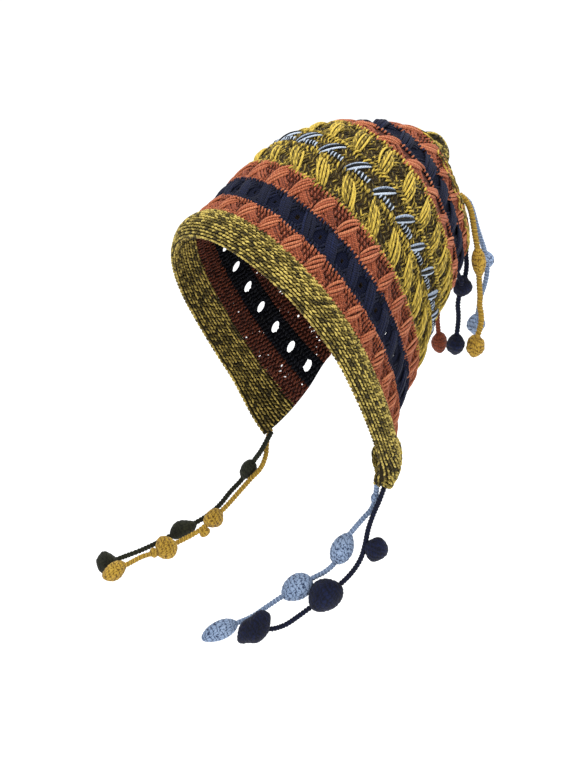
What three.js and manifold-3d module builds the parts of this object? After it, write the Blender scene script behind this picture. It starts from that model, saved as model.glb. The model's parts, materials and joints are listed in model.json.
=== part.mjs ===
// A knitted chullo: a bonnet of coloured bands round the face, two pointed ear flaps,
// and crocheted cords with bobbles at the flap tips and at the back of the crown.
// Millimetres, +Z up. The face looks along -Y, the wearer's left is +X,
// and the origin is where the crown rests on the top of the head, inside.
import * as THREE from "three";
import { mergeVertices } from "three/addons/utils/BufferGeometryUtils.js";
import Module from "manifold-3d";

const wasm = await Module();
wasm.setup();

// driving sizes of the shell
const hatLength = 197; // face edge to crown end, along the axis of the bands
const crownHalfWidth = 92;
const topHeight = 85; // axis to the top of the highest band
const flapDepth = 141; // axis to the flap tips
const flapHalfGap = 69; // half the distance between the two flap tips
const bandTilt = 28.75; // degrees that the axis of the bands rises towards the back
const bandWall = 3;
const bandCrown = 1.2; // how far the middle of a band stands out between its edges
const trimWall = 5.5;
const trimRoll = 3; // how far the rolled edging stands out of the shell
const leftTipRoll = 8; // extra thickness where the left flap's edging curls into its tip
const rightTipRoll = 2;
const tipForward = 6; // how far the flap tips stand forward of the face edge
const curlStart = 0.84; // share of the face edge's run where the edging starts to thicken
const curlFull = 0.97; // and where it is thickest
const forwardStart = 0.78; // and where it starts to stand forward
const trimEdge = 0.53; // thickness of the edging at its front and back edges, a share of its middle's
const crownPlug = 6; // thickness of the gathered crown end
const pieceGap = 0.4;
const seatShare = 0.66; // where along the axis the crown rests on the head

// eyelets of the first navy band
const eyeletCount = 24;
const eyeletLength = 7; // along the axis of the bands
const eyeletWidth = 6;

// cords, bobbles and the bun on the crown end
const cordDiameter = 3.8;
const seatGap = 0.35; // round a cord where it is sewn in
const boreGap = 0.8; // round a cord in a ball that it runs through
const knotWidth = 20;
const knotLength = 28;
const knotThickness = 16;
const knotSink = 4.5; // how far the bun's middle would reach into the crown end before it is hollowed
const knotPlace = 0.13; // share of the crown end's line from its top to its foot
const knotLobes = 7;
const knotLobeDepth = 0.1; // share of the bun's radius

// Edges of the bands from the face to the back. along is a share of hatLength, halfWidth of
// crownHalfWidth, top and belly of topHeight, foot of flapDepth, and gap of flapHalfGap.
const edgeColumns = ["along", "halfWidth", "top", "belly", "foot", "gap"];
const edges = {
  rim: [0, 1.0, 0.895, -0.24, 1.0, 1.0],
  trimMiddle: [0.06, 0.985, 0.935, -0.22, 0.985, 0.945],
  trimBack: [0.115, 0.95, 0.955, -0.195, 0.93, 0.83],
  rust1Back: [0.19, 0.935, 0.96, -0.125, 0.855, 0.71],
  navy1Back: [0.285, 0.915, 0.98, -0.02, 0.78, 0.65],
  rust2Back: [0.375, 0.87, 0.995, 0.085, 0.74, 0.6],
  olive1Back: [0.49, 0.815, 1.0, 0.17, 0.705, 0.465],
  blueBack: [0.58, 0.75, 0.955, 0.21, 0.69, 0.27],
  olive2Back: [0.71, 0.615, 0.83, 0.195, 0.675, 0.04],
  rust3Back: [0.775, 0.505, 0.72, 0.14, 0.655, 0],
  navy2Back: [0.86, 0.375, 0.56, 0.09, 0.61, 0],
  rust4Back: [0.94, 0.245, 0.38, 0.045, 0.55, 0],
  crownBack: [1, 0.06, 0.125, 0.015, 0.44, 0],
};

// front and back edge of each band, and how many rows of faces it has
const bands = {
  rust_band_1: { from: "trimBack", to: "rust1Back", rows: 2, yarn: "rust" },
  navy_band_1: { from: "rust1Back", to: "navy1Back", rows: 2, yarn: "navy" },
  rust_band_2: { from: "navy1Back", to: "rust2Back", rows: 2, yarn: "rust" },
  olive_band_1: { from: "rust2Back", to: "olive1Back", rows: 3, yarn: "olive" },
  blue_band: { from: "olive1Back", to: "blueBack", rows: 2, yarn: "blue" },
  olive_band_2: { from: "blueBack", to: "olive2Back", rows: 3, yarn: "olive" },
  rust_band_3: { from: "olive2Back", to: "rust3Back", rows: 2, yarn: "rust", closed: true },
  navy_band_2: { from: "rust3Back", to: "navy2Back", rows: 2, yarn: "navy", closed: true },
  rust_band_4: { from: "navy2Back", to: "rust4Back", rows: 2, yarn: "rust", closed: true },
};
const bandSteps = 36; // columns of faces round a band, an even number
const crownSteps = 24;
const trimRows = 4;
const crownRows = 3;
const cordSides = 8;
const cordStep = 2.7; // diameters of the cord from one of its rings to the next
const ballSides = 8;
const ballRows = 5;

// Routes of the cords, hung or swept forward as worn; each point is [x, y, z].
// bobbles: the point of the route that each one sits on, its size along and across
// the cord, and how far it stands off the cord.
const cords = {
  near_cord_blue: {
    yarn: "lightBlue",
    route: [
      [64, -14, -249], [60, -12, -264], [58, -14, -273], [55, -19, -280], [52, -24, -287], [49, -28, -294],
      [46, -32, -305], [43, -36, -316], [39, -42, -323], [34, -50, -328], [28, -60, -335], [22, -70, -342],
      [17, -80, -349], [12, -90, -356], [6, -101, -361], [0, -112, -366],
    ],
    bobbles: [
      { kind: "leaf", at: 1, length: 9, width: 6.5 },
      { at: 6, length: 24, width: 17 },
      { at: 10, length: 24, width: 20 },
      { at: 15, length: 27, width: 15 },
    ],
  },
  near_cord_navy: {
    yarn: "navy",
    route: [
      [68, -10, -252], [66, -13, -263], [64, -17, -274], [62, -20, -286], [61, -22, -298], [60, -25, -309],
      [57, -31, -320], [53, -39, -329], [48, -48, -337], [43, -57, -345], [39, -67, -352], [35, -77, -358],
      [31, -86, -360], [28, -92, -359], [25, -98, -358],
    ],
    bobbles: [
      { at: 4, length: 18, width: 17, aside: [7, 5, -3] },
      { at: 8, length: 26, width: 24 },
      { at: 14, length: 28, width: 20 },
    ],
  },
  far_cord_olive: {
    yarn: "darkOlive",
    route: [
      [-67, -10, -252], [-68, -15, -260], [-70, -19, -268], [-75, -21, -276], [-79, -24, -285], [-83, -28, -294],
      [-86, -37, -303], [-87, -47, -312], [-90, -56, -319], [-93, -66, -324], [-96, -77, -328], [-99, -88, -332],
      [-102, -99, -336], [-106, -111, -340], [-110, -124, -343], [-114, -137, -346],
    ],
    bobbles: [
      { at: 4, length: 16, width: 13 },
      { at: 10, length: 21, width: 14 },
      { at: 15, length: 15, width: 18 },
    ],
  },
  far_cord_mustard: {
    yarn: "mustard",
    route: [
      [-72, -7, -252], [-73, -10, -262], [-71, -13, -273], [-70, -19, -282], [-72, -28, -290], [-75, -39, -301],
      [-77, -49, -310], [-79, -59, -317], [-81, -69, -324], [-83, -78, -328], [-85, -88, -331], [-87, -99, -334],
      [-89, -109, -336], [-91, -119, -337], [-94, -130, -341], [-97, -141, -345],
    ],
    bobbles: [
      { at: 7, length: 16, width: 15 },
      { kind: "picot", at: 8, length: 8, width: 8, aside: [1, 2, -3] },
      { at: 11, length: 15, width: 19 },
      { kind: "picot", at: 12, length: 7, width: 8 },
      { at: 15, length: 19, width: 14 },
    ],
  },
  crown_cord_navy: {
    yarn: "navy",
    route: [
      [0, 120, -76], [0, 124, -83], [1, 126, -91], [1, 126, -99], [2, 127, -108], [2, 127, -117],
      [2, 128, -125], [2, 127, -134], [2, 124, -142], [2, 121, -150], [2, 120, -157], [2, 121, -164],
      [2, 121, -171], [2, 120, -180], [2, 119, -189],
    ],
    bobbles: [
      { at: 8, length: 15, width: 15, takes: "crown_cord_navy_short" },
      { at: 14, length: 15, width: 15 },
    ],
  },
  crown_cord_mustard: {
    yarn: "mustard",
    route: [
      [5, 115, -66], [7, 120, -71], [8, 124, -78], [8, 127, -87], [9, 129, -99], [10, 131, -110],
      [11, 132, -121], [12, 132, -131], [13, 132, -141], [14, 132, -149], [14, 132, -156], [15, 133, -164],
      [15, 133, -172], [14, 131, -181], [14, 129, -189],
    ],
    bobbles: [
      { at: 6, length: 21, width: 12 },
      { at: 14, length: 16, width: 15 },
    ],
  },
  crown_cord_blue: {
    yarn: "lightBlue",
    route: [
      [-3, 117, -69], [-4, 123, -70], [-5, 129, -73], [-5, 135, -78], [-5, 139, -85], [-5, 142, -93],
      [-5, 145, -101], [-5, 149, -110], [-6, 154, -120], [-6, 157, -129], [-6, 158, -139], [-6, 156, -149],
      [-7, 153, -159], [-7, 151, -170], [-7, 149, -181],
    ],
    bobbles: [
      { at: 9, length: 13, width: 12 },
      { at: 14, length: 15, width: 15 },
    ],
  },
  crown_cord_rust: {
    yarn: "rust",
    route: [
      [-3, 120, -82], [-5, 125, -87], [-7, 127, -95], [-9, 127, -103], [-11, 126, -111], [-13, 125, -119],
      [-15, 124, -127], [-17, 123, -136], [-19, 123, -145], [-21, 122, -154], [-22, 122, -164], [-22, 121, -174],
      [-22, 122, -182], [-22, 123, -189], [-22, 124, -195],
    ],
    bobbles: [{ at: 14, length: 16, width: 13 }],
  },
  crown_cord_navy_short: {
    yarn: "navy",
    route: [
      [2, 114, -125], [3, 115, -127], [4, 116, -129], [5, 117, -131], [5, 118, -133], [6, 119, -135],
      [6, 119, -137], [5, 120, -139],
    ],
    bobbles: [],
  },
};

const yarns = {
  trim: { color: 0x8a7f2c, roughness: 0.95 },
  rust: { color: 0xc0623a, roughness: 0.95 },
  navy: { color: 0x1b2140, roughness: 0.95 },
  olive: { color: 0xb0a03c, roughness: 0.95 },
  blue: { color: 0x8a94a8, roughness: 0.95 },
  mustard: { color: 0xc8a23a, roughness: 0.95 },
  lightBlue: { color: 0x98acd6, roughness: 0.95 },
  darkOlive: { color: 0x2c3020, roughness: 0.95 },
};
const yarnMaterials = Object.fromEntries(
  Object.entries(yarns).map(([name, look]) => [name, new THREE.MeshStandardMaterial({ ...look, metalness: 0 })]),
);

const tilt = THREE.MathUtils.degToRad(bandTilt);
const axisBack = new THREE.Vector3(0, Math.cos(tilt), Math.sin(tilt));
const axisUp = new THREE.Vector3(0, -Math.sin(tilt), Math.cos(tilt));
const axisSide = new THREE.Vector3(1, 0, 0);

// the columns of the edges as smooth curves of the distance along the axis
const columnScale = [hatLength, crownHalfWidth, topHeight, topHeight, flapDepth, flapHalfGap];
const edgeSizes = Object.values(edges).map((row) => row.map((share, i) => share * columnScale[i]));
const edgeCurve = new THREE.CubicInterpolant(
  edgeSizes.map((row) => row[0]),
  edgeSizes.flatMap((row) => row.slice(1)),
  edgeColumns.length - 1,
);

function ringAt(along) {
  const [halfWidth, top, belly, foot, gap] = edgeCurve.evaluate(along);
  const endSine = Math.max(0, gap) / halfWidth;
  return {
    halfWidth,
    belly,
    rise: top - belly,
    drop: (belly + foot) / Math.sqrt(1 - endSine * endSine),
    endAngle: Math.PI - Math.asin(endSine),
  };
}

function ringOffset(ring, angle) {
  const reach = Math.cos(angle) >= 0 ? ring.rise : ring.drop;
  return new THREE.Vector2(ring.halfWidth * Math.sin(angle), ring.belly + reach * Math.cos(angle));
}

// the angle at which a ring has run a share of the way from its top to its end
function angleAt(ring, share) {
  const steps = 120;
  const spots = Array.from({ length: steps + 1 }, (_, i) => ringOffset(ring, (i * ring.endAngle) / steps));
  const run = [0];
  for (let i = 1; i <= steps; i++) run.push(run[i - 1] + spots[i].distanceTo(spots[i - 1]));
  const wanted = share * run[steps];
  const i = Math.max(1, run.findIndex((length) => length >= wanted - 1e-9));
  return ((i - 1 + (wanted - run[i - 1]) / (run[i] - run[i - 1])) * ring.endAngle) / steps;
}

// A point in the middle of the wall. turn is a share of the ring's run, from -1 at the
// wearer's right end, over 0 at the top, to 1 at the left end.
function ringPoint(along, turn) {
  const ring = ringAt(along);
  const offset = ringOffset(ring, Math.sign(turn) * angleAt(ring, Math.abs(turn)));
  return new THREE.Vector3()
    .addScaledVector(axisBack, along)
    .addScaledVector(axisUp, offset.y)
    .addScaledVector(axisSide, offset.x);
}

function ringNormal(along, turn) {
  const [alongStep, turnStep] = [hatLength / 400, 1 / 250];
  const front = ringPoint(Math.max(0, along - alongStep), turn);
  const back = ringPoint(Math.min(hatLength, along + alongStep), turn);
  const before = ringPoint(along, Math.max(-1, turn - turnStep));
  const after = ringPoint(along, Math.min(1, turn + turnStep));
  return after.sub(before).cross(back.sub(front)).normalize();
}

const seat = ringPoint(seatShare * hatLength, 0)
  .addScaledVector(ringNormal(seatShare * hatLength, 0), -bandWall / 2);

function wallPoint(along, turn, out) {
  return ringPoint(along, turn).addScaledVector(ringNormal(along, turn), out).sub(seat);
}

function geometryOf(vertices, triangles) {
  const geometry = new THREE.BufferGeometry();
  geometry.setAttribute("position", new THREE.Float32BufferAttribute(vertices.flatMap((p) => p.toArray()), 3));
  geometry.setIndex(triangles.flat());
  geometry.computeVertexNormals();
  return geometry;
}

// A wall between two grids of points, each grid[row][column] from front to back. A closed wall
// joins its last column to its first. A capped wall is shut at the back, outside and inside.
function wallGeometry(outside, inside, { closed = false, capped = false } = {}) {
  const rows = outside.length;
  const columns = outside[0].length;
  const vertices = [...outside.flat(), ...inside.flat()];
  const innerStart = rows * columns;
  const o = (row, column) => row * columns + (column % columns);
  const n = (row, column) => innerStart + o(row, column);
  const triangles = [];
  const quad = (a, b, c, d) => triangles.push([a, b, c], [a, c, d]);
  const steps = closed ? columns : columns - 1;
  for (let column = 0; column < steps; column++) {
    for (let row = 0; row < rows - 1; row++) {
      quad(o(row, column), o(row, column + 1), o(row + 1, column + 1), o(row + 1, column));
      quad(n(row, column), n(row + 1, column), n(row + 1, column + 1), n(row, column + 1));
    }
    quad(o(0, column), n(0, column), n(0, column + 1), o(0, column + 1));
    if (!capped) {
      const last = rows - 1;
      quad(o(last, column), o(last, column + 1), n(last, column + 1), n(last, column));
    }
  }
  if (!closed) {
    for (let row = 0; row < rows - 1; row++) {
      quad(o(row, 0), o(row + 1, 0), n(row + 1, 0), n(row, 0));
      quad(o(row, columns - 1), n(row, columns - 1), n(row + 1, columns - 1), o(row + 1, columns - 1));
    }
  }
  if (capped) {
    triangles.push(...ringCap(columns).map((face) => face.map((c) => o(rows - 1, c))));
    triangles.push(...ringCap(columns).map((face) => face.map((c) => n(rows - 1, c)).reverse()));
  }
  return geometryOf(vertices, triangles);
}

// faces across a closed ring, from its foot to its top, seen from behind
function ringCap(columns) {
  const faces = [];
  for (let c = 0; c < columns / 2; c++) {
    const mirrored = (columns - c) % columns;
    if (c > 0) faces.push([c, c + 1, mirrored]);
    if (c + 1 < columns / 2) faces.push([c + 1, mirrored - 1 + (c === 0 ? columns : 0), mirrored]);
  }
  return faces.map((face) => face.map((c) => (c + columns) % columns));
}

// a closed outside with both its ends shut, from its front ring to its back ring
function plugGeometry(outside) {
  const columns = outside[0].length;
  const at = (row, column) => row * columns + (column % columns);
  const triangles = [];
  for (let row = 0; row < outside.length - 1; row++) {
    for (let c = 0; c < columns; c++) {
      triangles.push([at(row, c), at(row, c + 1), at(row + 1, c + 1)]);
      triangles.push([at(row, c), at(row + 1, c + 1), at(row + 1, c)]);
    }
  }
  triangles.push(...ringCap(columns).map((face) => face.toReversed()));
  triangles.push(...ringCap(columns).map((face) => face.map((c) => at(outside.length - 1, c))));
  return geometryOf(outside.flat(), triangles);
}

// grid of wall points; offset(t, turn) is their distance from the middle of the wall
function wallGrid(from, to, rows, closed, offset, steps = bandSteps) {
  const columns = closed ? steps : steps + 1;
  return Array.from({ length: rows + 1 }, (_, row) => {
    const t = row / rows;
    const along = THREE.MathUtils.lerp(from, to, t);
    return Array.from({ length: columns }, (_, column) => {
      const turn = (2 * column) / steps - 1;
      return wallPoint(along, turn, offset(t, turn));
    });
  });
}

const alongOf = (edge) => edges[edge][0] * hatLength;

function bandGeometry({ from, to, rows, closed = false }, steps = bandSteps) {
  const [start, end] = [alongOf(from) + pieceGap / 2, alongOf(to) - pieceGap / 2];
  const crown = (t) => bandCrown * Math.sin(Math.PI * t);
  return wallGeometry(
    wallGrid(start, end, rows, closed, (t) => crown(t) + bandWall / 2, steps),
    wallGrid(start, end, rows, closed, (t) => crown(t) - bandWall / 2, steps),
    { closed },
  );
}

// the rolled edging: thick in the middle, thin at both edges, and curled thick at its tips
function trimGeometry() {
  const [start, end] = [0, alongOf("trimBack") - pieceGap / 2];
  const bulge = (t) => trimRoll * Math.sin(Math.PI * t);
  const curl = (turn) =>
    leftTipRoll * THREE.MathUtils.smoothstep(turn, curlStart, curlFull) +
    rightTipRoll * THREE.MathUtils.smoothstep(-turn, curlStart, curlFull);
  const half = (t, turn) => {
    const round = Math.sqrt(1 - (1 - trimEdge ** 2) * (2 * t - 1) ** 2);
    return (round * (trimWall + curl(turn))) / 2;
  };
  const jut = (grid) =>
    grid.map((row, i) =>
      row.map((point, column) => {
        const turn = Math.abs((2 * column) / bandSteps - 1);
        const share = THREE.MathUtils.smoothstep(turn, forwardStart, 1) * (1 - i / trimRows);
        return point.addScaledVector(axisBack, -tipForward * share);
      }),
    );
  return wallGeometry(
    jut(wallGrid(start, end, trimRows, false, (t, turn) => bulge(t) - curl(turn) / 4 + half(t, turn))),
    jut(wallGrid(start, end, trimRows, false, (t, turn) => bulge(t) - curl(turn) / 4 - half(t, turn))),
  );
}

function crownEndGeometry() {
  const start = alongOf("rust4Back") + pieceGap / 2;
  return wallGeometry(
    wallGrid(start, hatLength, crownRows, true, () => bandWall / 2, crownSteps),
    wallGrid(start, hatLength - crownPlug, crownRows, true, () => -bandWall / 2, crownSteps),
    { closed: true, capped: true },
  );
}

function toSolid(geometry) {
  const bare = geometry.clone();
  bare.deleteAttribute("normal");
  bare.deleteAttribute("uv");
  const merged = mergeVertices(bare, 1e-4);
  return new wasm.Manifold(
    new wasm.Mesh({
      numProp: 3,
      vertProperties: new Float32Array(merged.attributes.position.array),
      triVerts: new Uint32Array(merged.index.array),
    }),
  );
}

function fromSolid(solid) {
  const mesh = solid.getMesh();
  const geometry = new THREE.BufferGeometry();
  geometry.setAttribute("position", new THREE.BufferAttribute(mesh.vertProperties, 3));
  geometry.setIndex(new THREE.BufferAttribute(mesh.triVerts, 1));
  geometry.computeVertexNormals();
  return geometry;
}

const cut = (solid, tools) => tools.reduce((left, tool) => left.subtract(tool), solid);

// A band of three rings of points whose middle ring has a diamond eyelet cut through
// at every second point. The eyelet's corners lie on the lines of the grid.
function eyeletBandGeometry(band) {
  const columns = 2 * eyeletCount + 1;
  const [start, end] = [alongOf(band.from) + pieceGap / 2, alongOf(band.to) - pieceGap / 2];
  const middle = (start + end) / 2;
  const vertices = [];
  const triangles = [];
  const sides = [bandWall / 2, -bandWall / 2].map((half) => {
    const add = (along, turn, out) => vertices.push(wallPoint(along, turn, out)) - 1;
    const ring = (along, out) =>
      Array.from({ length: columns }, (_, c) => add(along, (2 * c) / (columns - 1) - 1, out + half));
    const [front, waist, back] = [ring(start, 0), ring(middle, bandCrown), ring(end, 0)];
    const corners = waist.map((point, c) => {
      if (c % 2 === 0) return null;
      const corner = (other, size) => {
        const span = vertices[other].clone().sub(vertices[point]);
        return vertices.push(vertices[point].clone().addScaledVector(span, size / 2 / span.length())) - 1;
      };
      return {
        right: corner(waist[c - 1], eyeletWidth),
        left: corner(waist[c + 1], eyeletWidth),
        front: corner(front[c], eyeletLength),
        back: corner(back[c], eyeletLength),
      };
    });
    return { front, waist, back, corners };
  });
  const face = (flip, ...ring) => {
    const turned = flip ? ring.toReversed() : ring;
    for (let i = 1; i < turned.length - 1; i++) triangles.push([turned[0], turned[i], turned[i + 1]]);
  };
  sides.forEach(({ front, waist, back, corners }, i) => {
    const flip = i === 1;
    for (let c = 1; c < columns; c += 2) {
      const hole = corners[c];
      face(flip, front[c - 1], front[c], hole.front, hole.right, waist[c - 1]);
      face(flip, front[c + 1], waist[c + 1], hole.left, hole.front, front[c]);
      face(flip, back[c - 1], waist[c - 1], hole.right, hole.back, back[c]);
      face(flip, back[c + 1], back[c], hole.back, hole.left, waist[c + 1]);
    }
  });
  const [outer, inner] = sides;
  for (let c = 1; c < columns; c++) {
    face(false, outer.front[c - 1], inner.front[c - 1], inner.front[c], outer.front[c]);
    face(true, outer.back[c - 1], inner.back[c - 1], inner.back[c], outer.back[c]);
  }
  for (const [c, flip] of [[0, false], [columns - 1, true]]) {
    face(flip, outer.front[c], outer.waist[c], inner.waist[c], inner.front[c]);
    face(flip, outer.waist[c], outer.back[c], inner.back[c], inner.waist[c]);
  }
  for (let c = 1; c < columns; c += 2) {
    const around = ["front", "right", "back", "left"];
    around.forEach((corner, i) => {
      const next = around[(i + 1) % 4];
      face(false, outer.corners[c][corner], inner.corners[c][corner], inner.corners[c][next], outer.corners[c][next]);
    });
  }
  return geometryOf(vertices, triangles);
}

function tubeGeometry(points, diameter) {
  const curve = new THREE.CatmullRomCurve3(points.map((p) => new THREE.Vector3(...p)), false, "centripetal");
  const section = new THREE.Shape(
    Array.from({ length: cordSides }, (_, i) => {
      const angle = (i * 2 * Math.PI) / cordSides;
      return new THREE.Vector2(Math.cos(angle), Math.sin(angle)).multiplyScalar(diameter / 2);
    }),
  );
  const steps = Math.max(4, Math.ceil(curve.getLength() / (cordStep * cordDiameter)));
  return new THREE.ExtrudeGeometry(section, { steps, extrudePath: curve });
}

// the seat that a cord leaves in what it is sewn to, rounded past both its ends
function cordSeat({ route }) {
  const tube = toSolid(tubeGeometry(route, cordDiameter + 2 * seatGap));
  const ends = [route[0], route.at(-1)].map((point) =>
    toSolid(new THREE.SphereGeometry(cordDiameter / 2 + 2 * seatGap, 8, 6).translate(...point)),
  );
  return ends.reduce((seatShape, end) => seatShape.add(end), tube);
}

// A crocheted ball threaded on its cord: a turned profile with a bore along the cord,
// which is blind where the cord ends inside the ball.
function threadedBall({ length, width }, blind) {
  const bore = (cordDiameter / 2 + boreGap) / Math.cos(Math.PI / ballSides);
  const rim = Math.asin(Math.min(0.9, (2 * (bore + seatGap)) / width));
  const arc = Array.from({ length: ballRows + 1 }, (_, i) => {
    const angle = THREE.MathUtils.lerp(rim, blind ? Math.PI : Math.PI - rim, i / ballRows);
    return new THREE.Vector2((Math.sin(angle) * width) / 2, (-Math.cos(angle) * length) / 2);
  });
  if (blind) {
    arc.at(-1).x = 0;
    return new THREE.LatheGeometry([new THREE.Vector2(0, boreGap), new THREE.Vector2(bore, boreGap),
      new THREE.Vector2(bore, arc[0].y), ...arc], ballSides);
  }
  const [front, back] = [new THREE.Vector2(bore, arc[0].y), new THREE.Vector2(bore, arc.at(-1).y)];
  return new THREE.LatheGeometry([front, ...arc, back, front], ballSides);
}

function bobbleGeometry({ route }, bobble) {
  const here = new THREE.Vector3(...route[bobble.at]);
  const before = new THREE.Vector3(...route[bobble.at - 1]);
  const last = bobble.at === route.length - 1;
  const after = last ? here : new THREE.Vector3(...route[bobble.at + 1]);
  const ball = bobble.aside
    ? new THREE.SphereGeometry(0.5, ballSides, ballRows + 1).scale(bobble.width, bobble.length, bobble.width)
    : threadedBall(bobble, last);
  const toCord = new THREE.Quaternion().setFromUnitVectors(
    new THREE.Vector3(0, 1, 0),
    after.clone().sub(before).normalize(),
  );
  return ball
    .applyQuaternion(toCord)
    .translate(...here.add(new THREE.Vector3(...(bobble.aside ?? [0, 0, 0]))).toArray());
}

// the gathered bun, lobed like a scrunched edging and hollowed to sit on the crown end
function knotGeometry() {
  const bun = new THREE.SphereGeometry(0.5, 2 * knotLobes, ballRows + 2);
  const points = bun.attributes.position;
  for (let i = 0; i < points.count; i++) {
    const angle = Math.atan2(points.getZ(i), points.getX(i));
    const lobe = 1 + knotLobeDepth * Math.cos(knotLobes * angle);
    points.setXYZ(i, points.getX(i) * lobe, points.getY(i), points.getZ(i) * lobe);
  }
  const [top, foot] = [ringPoint(hatLength, 0), ringPoint(hatLength, 1)];
  const centre = top.clone().lerp(foot, knotPlace).addScaledVector(axisBack, knotThickness / 2 - knotSink);
  const down = foot.sub(top).normalize();
  const out = new THREE.Vector3().crossVectors(axisSide, down);
  bun.scale(knotWidth, knotThickness, knotLength);
  bun.applyMatrix4(new THREE.Matrix4().makeBasis(axisSide, out.negate(), down).setPosition(centre.sub(seat)));
  const start = alongOf("navy2Back");
  const bandShare = (alongOf("rust4Back") - start) / (hatLength - start);
  const reach = (t) => bandWall / 2 + pieceGap + bandCrown * Math.sin(Math.PI * Math.min(1, t / bandShare));
  const plug = plugGeometry(wallGrid(start, hatLength, 2 * crownRows, true, reach, crownSteps));
  return fromSolid(toSolid(bun).subtract(toSolid(plug)));
}

const hat = new THREE.Group();

function addPiece(name, geometry, yarn) {
  const mesh = new THREE.Mesh(geometry, yarnMaterials[yarn]);
  mesh.name = name;
  hat.add(mesh);
}

for (const [name, cord] of Object.entries(cords)) {
  addPiece(name, tubeGeometry(cord.route, cordDiameter), cord.yarn);
}
const seats = Object.fromEntries(Object.entries(cords).map(([name, cord]) => [name, cordSeat(cord)]));
const allSeats = Object.values(seats);

addPiece("front_trim", fromSolid(cut(toSolid(trimGeometry()), allSeats)), "trim");
for (const [name, band] of Object.entries(bands)) {
  const geometry = name === "navy_band_1" ? eyeletBandGeometry(band) : bandGeometry(band);
  addPiece(name, geometry, band.yarn);
}
addPiece("crown_end", fromSolid(cut(toSolid(crownEndGeometry()), allSeats)), "olive");
addPiece("crown_knot", knotGeometry(), "olive");

// a ball beside its cord is grooved for it, and the short cord ends in the first navy ball
for (const [name, cord] of Object.entries(cords)) {
  const counts = {};
  for (const bobble of cord.bobbles) {
    const kind = bobble.kind ?? "bobble";
    counts[kind] = (counts[kind] ?? 0) + 1;
    const tools = bobble.aside ? [seats[name]] : [];
    if (bobble.takes) tools.push(seats[bobble.takes]);
    const ball = cut(toSolid(bobbleGeometry(cord, bobble)), tools);
    addPiece(`${name}_${kind}_${counts[kind]}`, fromSolid(ball), cord.yarn);
  }
}

export default hat;
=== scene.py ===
import json
import math

import bpy
import numpy as np
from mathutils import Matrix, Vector

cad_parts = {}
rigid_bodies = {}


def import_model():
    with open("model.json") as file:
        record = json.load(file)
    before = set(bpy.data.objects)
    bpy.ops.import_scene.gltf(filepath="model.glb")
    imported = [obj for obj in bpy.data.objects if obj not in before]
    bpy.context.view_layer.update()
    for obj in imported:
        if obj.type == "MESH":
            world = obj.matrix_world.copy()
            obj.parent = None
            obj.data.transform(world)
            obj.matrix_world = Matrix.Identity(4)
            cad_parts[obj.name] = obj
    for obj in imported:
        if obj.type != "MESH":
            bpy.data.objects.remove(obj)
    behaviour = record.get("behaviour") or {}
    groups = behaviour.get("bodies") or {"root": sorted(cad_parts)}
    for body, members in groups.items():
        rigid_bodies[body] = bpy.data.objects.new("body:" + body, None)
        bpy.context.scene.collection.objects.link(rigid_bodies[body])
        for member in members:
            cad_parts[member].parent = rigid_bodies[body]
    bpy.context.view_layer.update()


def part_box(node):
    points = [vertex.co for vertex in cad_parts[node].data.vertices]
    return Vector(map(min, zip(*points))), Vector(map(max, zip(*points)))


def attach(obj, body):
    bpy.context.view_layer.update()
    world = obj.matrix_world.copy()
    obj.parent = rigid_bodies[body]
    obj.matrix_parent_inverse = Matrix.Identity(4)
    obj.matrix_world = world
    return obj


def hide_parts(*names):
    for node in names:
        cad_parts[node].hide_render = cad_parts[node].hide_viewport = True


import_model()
scene = bpy.context.scene
bpy.ops.object.select_all(action="DESELECT")
mm = 0.001

# camera, floor and lights
cameraSet = {"eye": (1.0924, -0.9085, 0.3501), "down": 20.98, "turn": 51.73, "lens": 94.92, "sensor": 36,
             "clipEnd": 60}
cameraData = bpy.data.cameras.new("camera")
cameraData.lens = cameraSet["lens"]
cameraData.sensor_width = cameraSet["sensor"]
cameraData.clip_end = cameraSet["clipEnd"]
camera = bpy.data.objects.new("camera", cameraData)
camera.location = cameraSet["eye"]
camera.rotation_euler = (math.radians(90 - cameraSet["down"]), 0, math.radians(cameraSet["turn"]))
scene.collection.objects.link(camera)
scene.camera = camera
scene.view_settings.view_transform = "Standard"

lamps = {
    # place, aim, size in metres, power in watts, tint
    "keyLamp": ((0.45, -0.9, 2.05), (0, 0, -0.12), 0.9, 27, (1.0, 0.98, 0.95)),
    "fillLamp": ((2.0, -0.2, 0.5), (0, 0, -0.15), 1.4, 3, (0.95, 0.97, 1.0)),
    "topLamp": ((0.1, 0.4, 1.9), (0, 0, -0.05), 1.0, 22, (1.0, 1.0, 1.0)),
    "backLamp": ((-1.5, 1.5, 0.9), (0, 0, -0.1), 1.4, 9, (0.95, 0.97, 1.0)),
}
for name, (place, aim, size, power, tint) in lamps.items():
    lampData = bpy.data.lights.new(name, "AREA")
    lampData.size = size
    lampData.energy = power
    lampData.color = tint
    lamp = bpy.data.objects.new(name, lampData)
    lamp.location = place
    lamp.rotation_euler = (Vector(aim) - Vector(place)).to_track_quat("-Z", "Y").to_euler()
    scene.collection.objects.link(lamp)

studio = {"sky": (0.97, 0.985, 1.0, 1), "skyStrength": 0.62, "floorSize": 40, "floorHeight": -0.75,
          "floorTint": (0.7, 0.7, 0.7, 1), "floorGlow": 0.6, "floorRoughness": 0.9}
world = bpy.data.worlds.new("studio")
scene.world = world
world.use_nodes = True
sky = world.node_tree.nodes["Background"]
sky.inputs["Color"].default_value = studio["sky"]
sky.inputs["Strength"].default_value = studio["skyStrength"]

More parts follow.
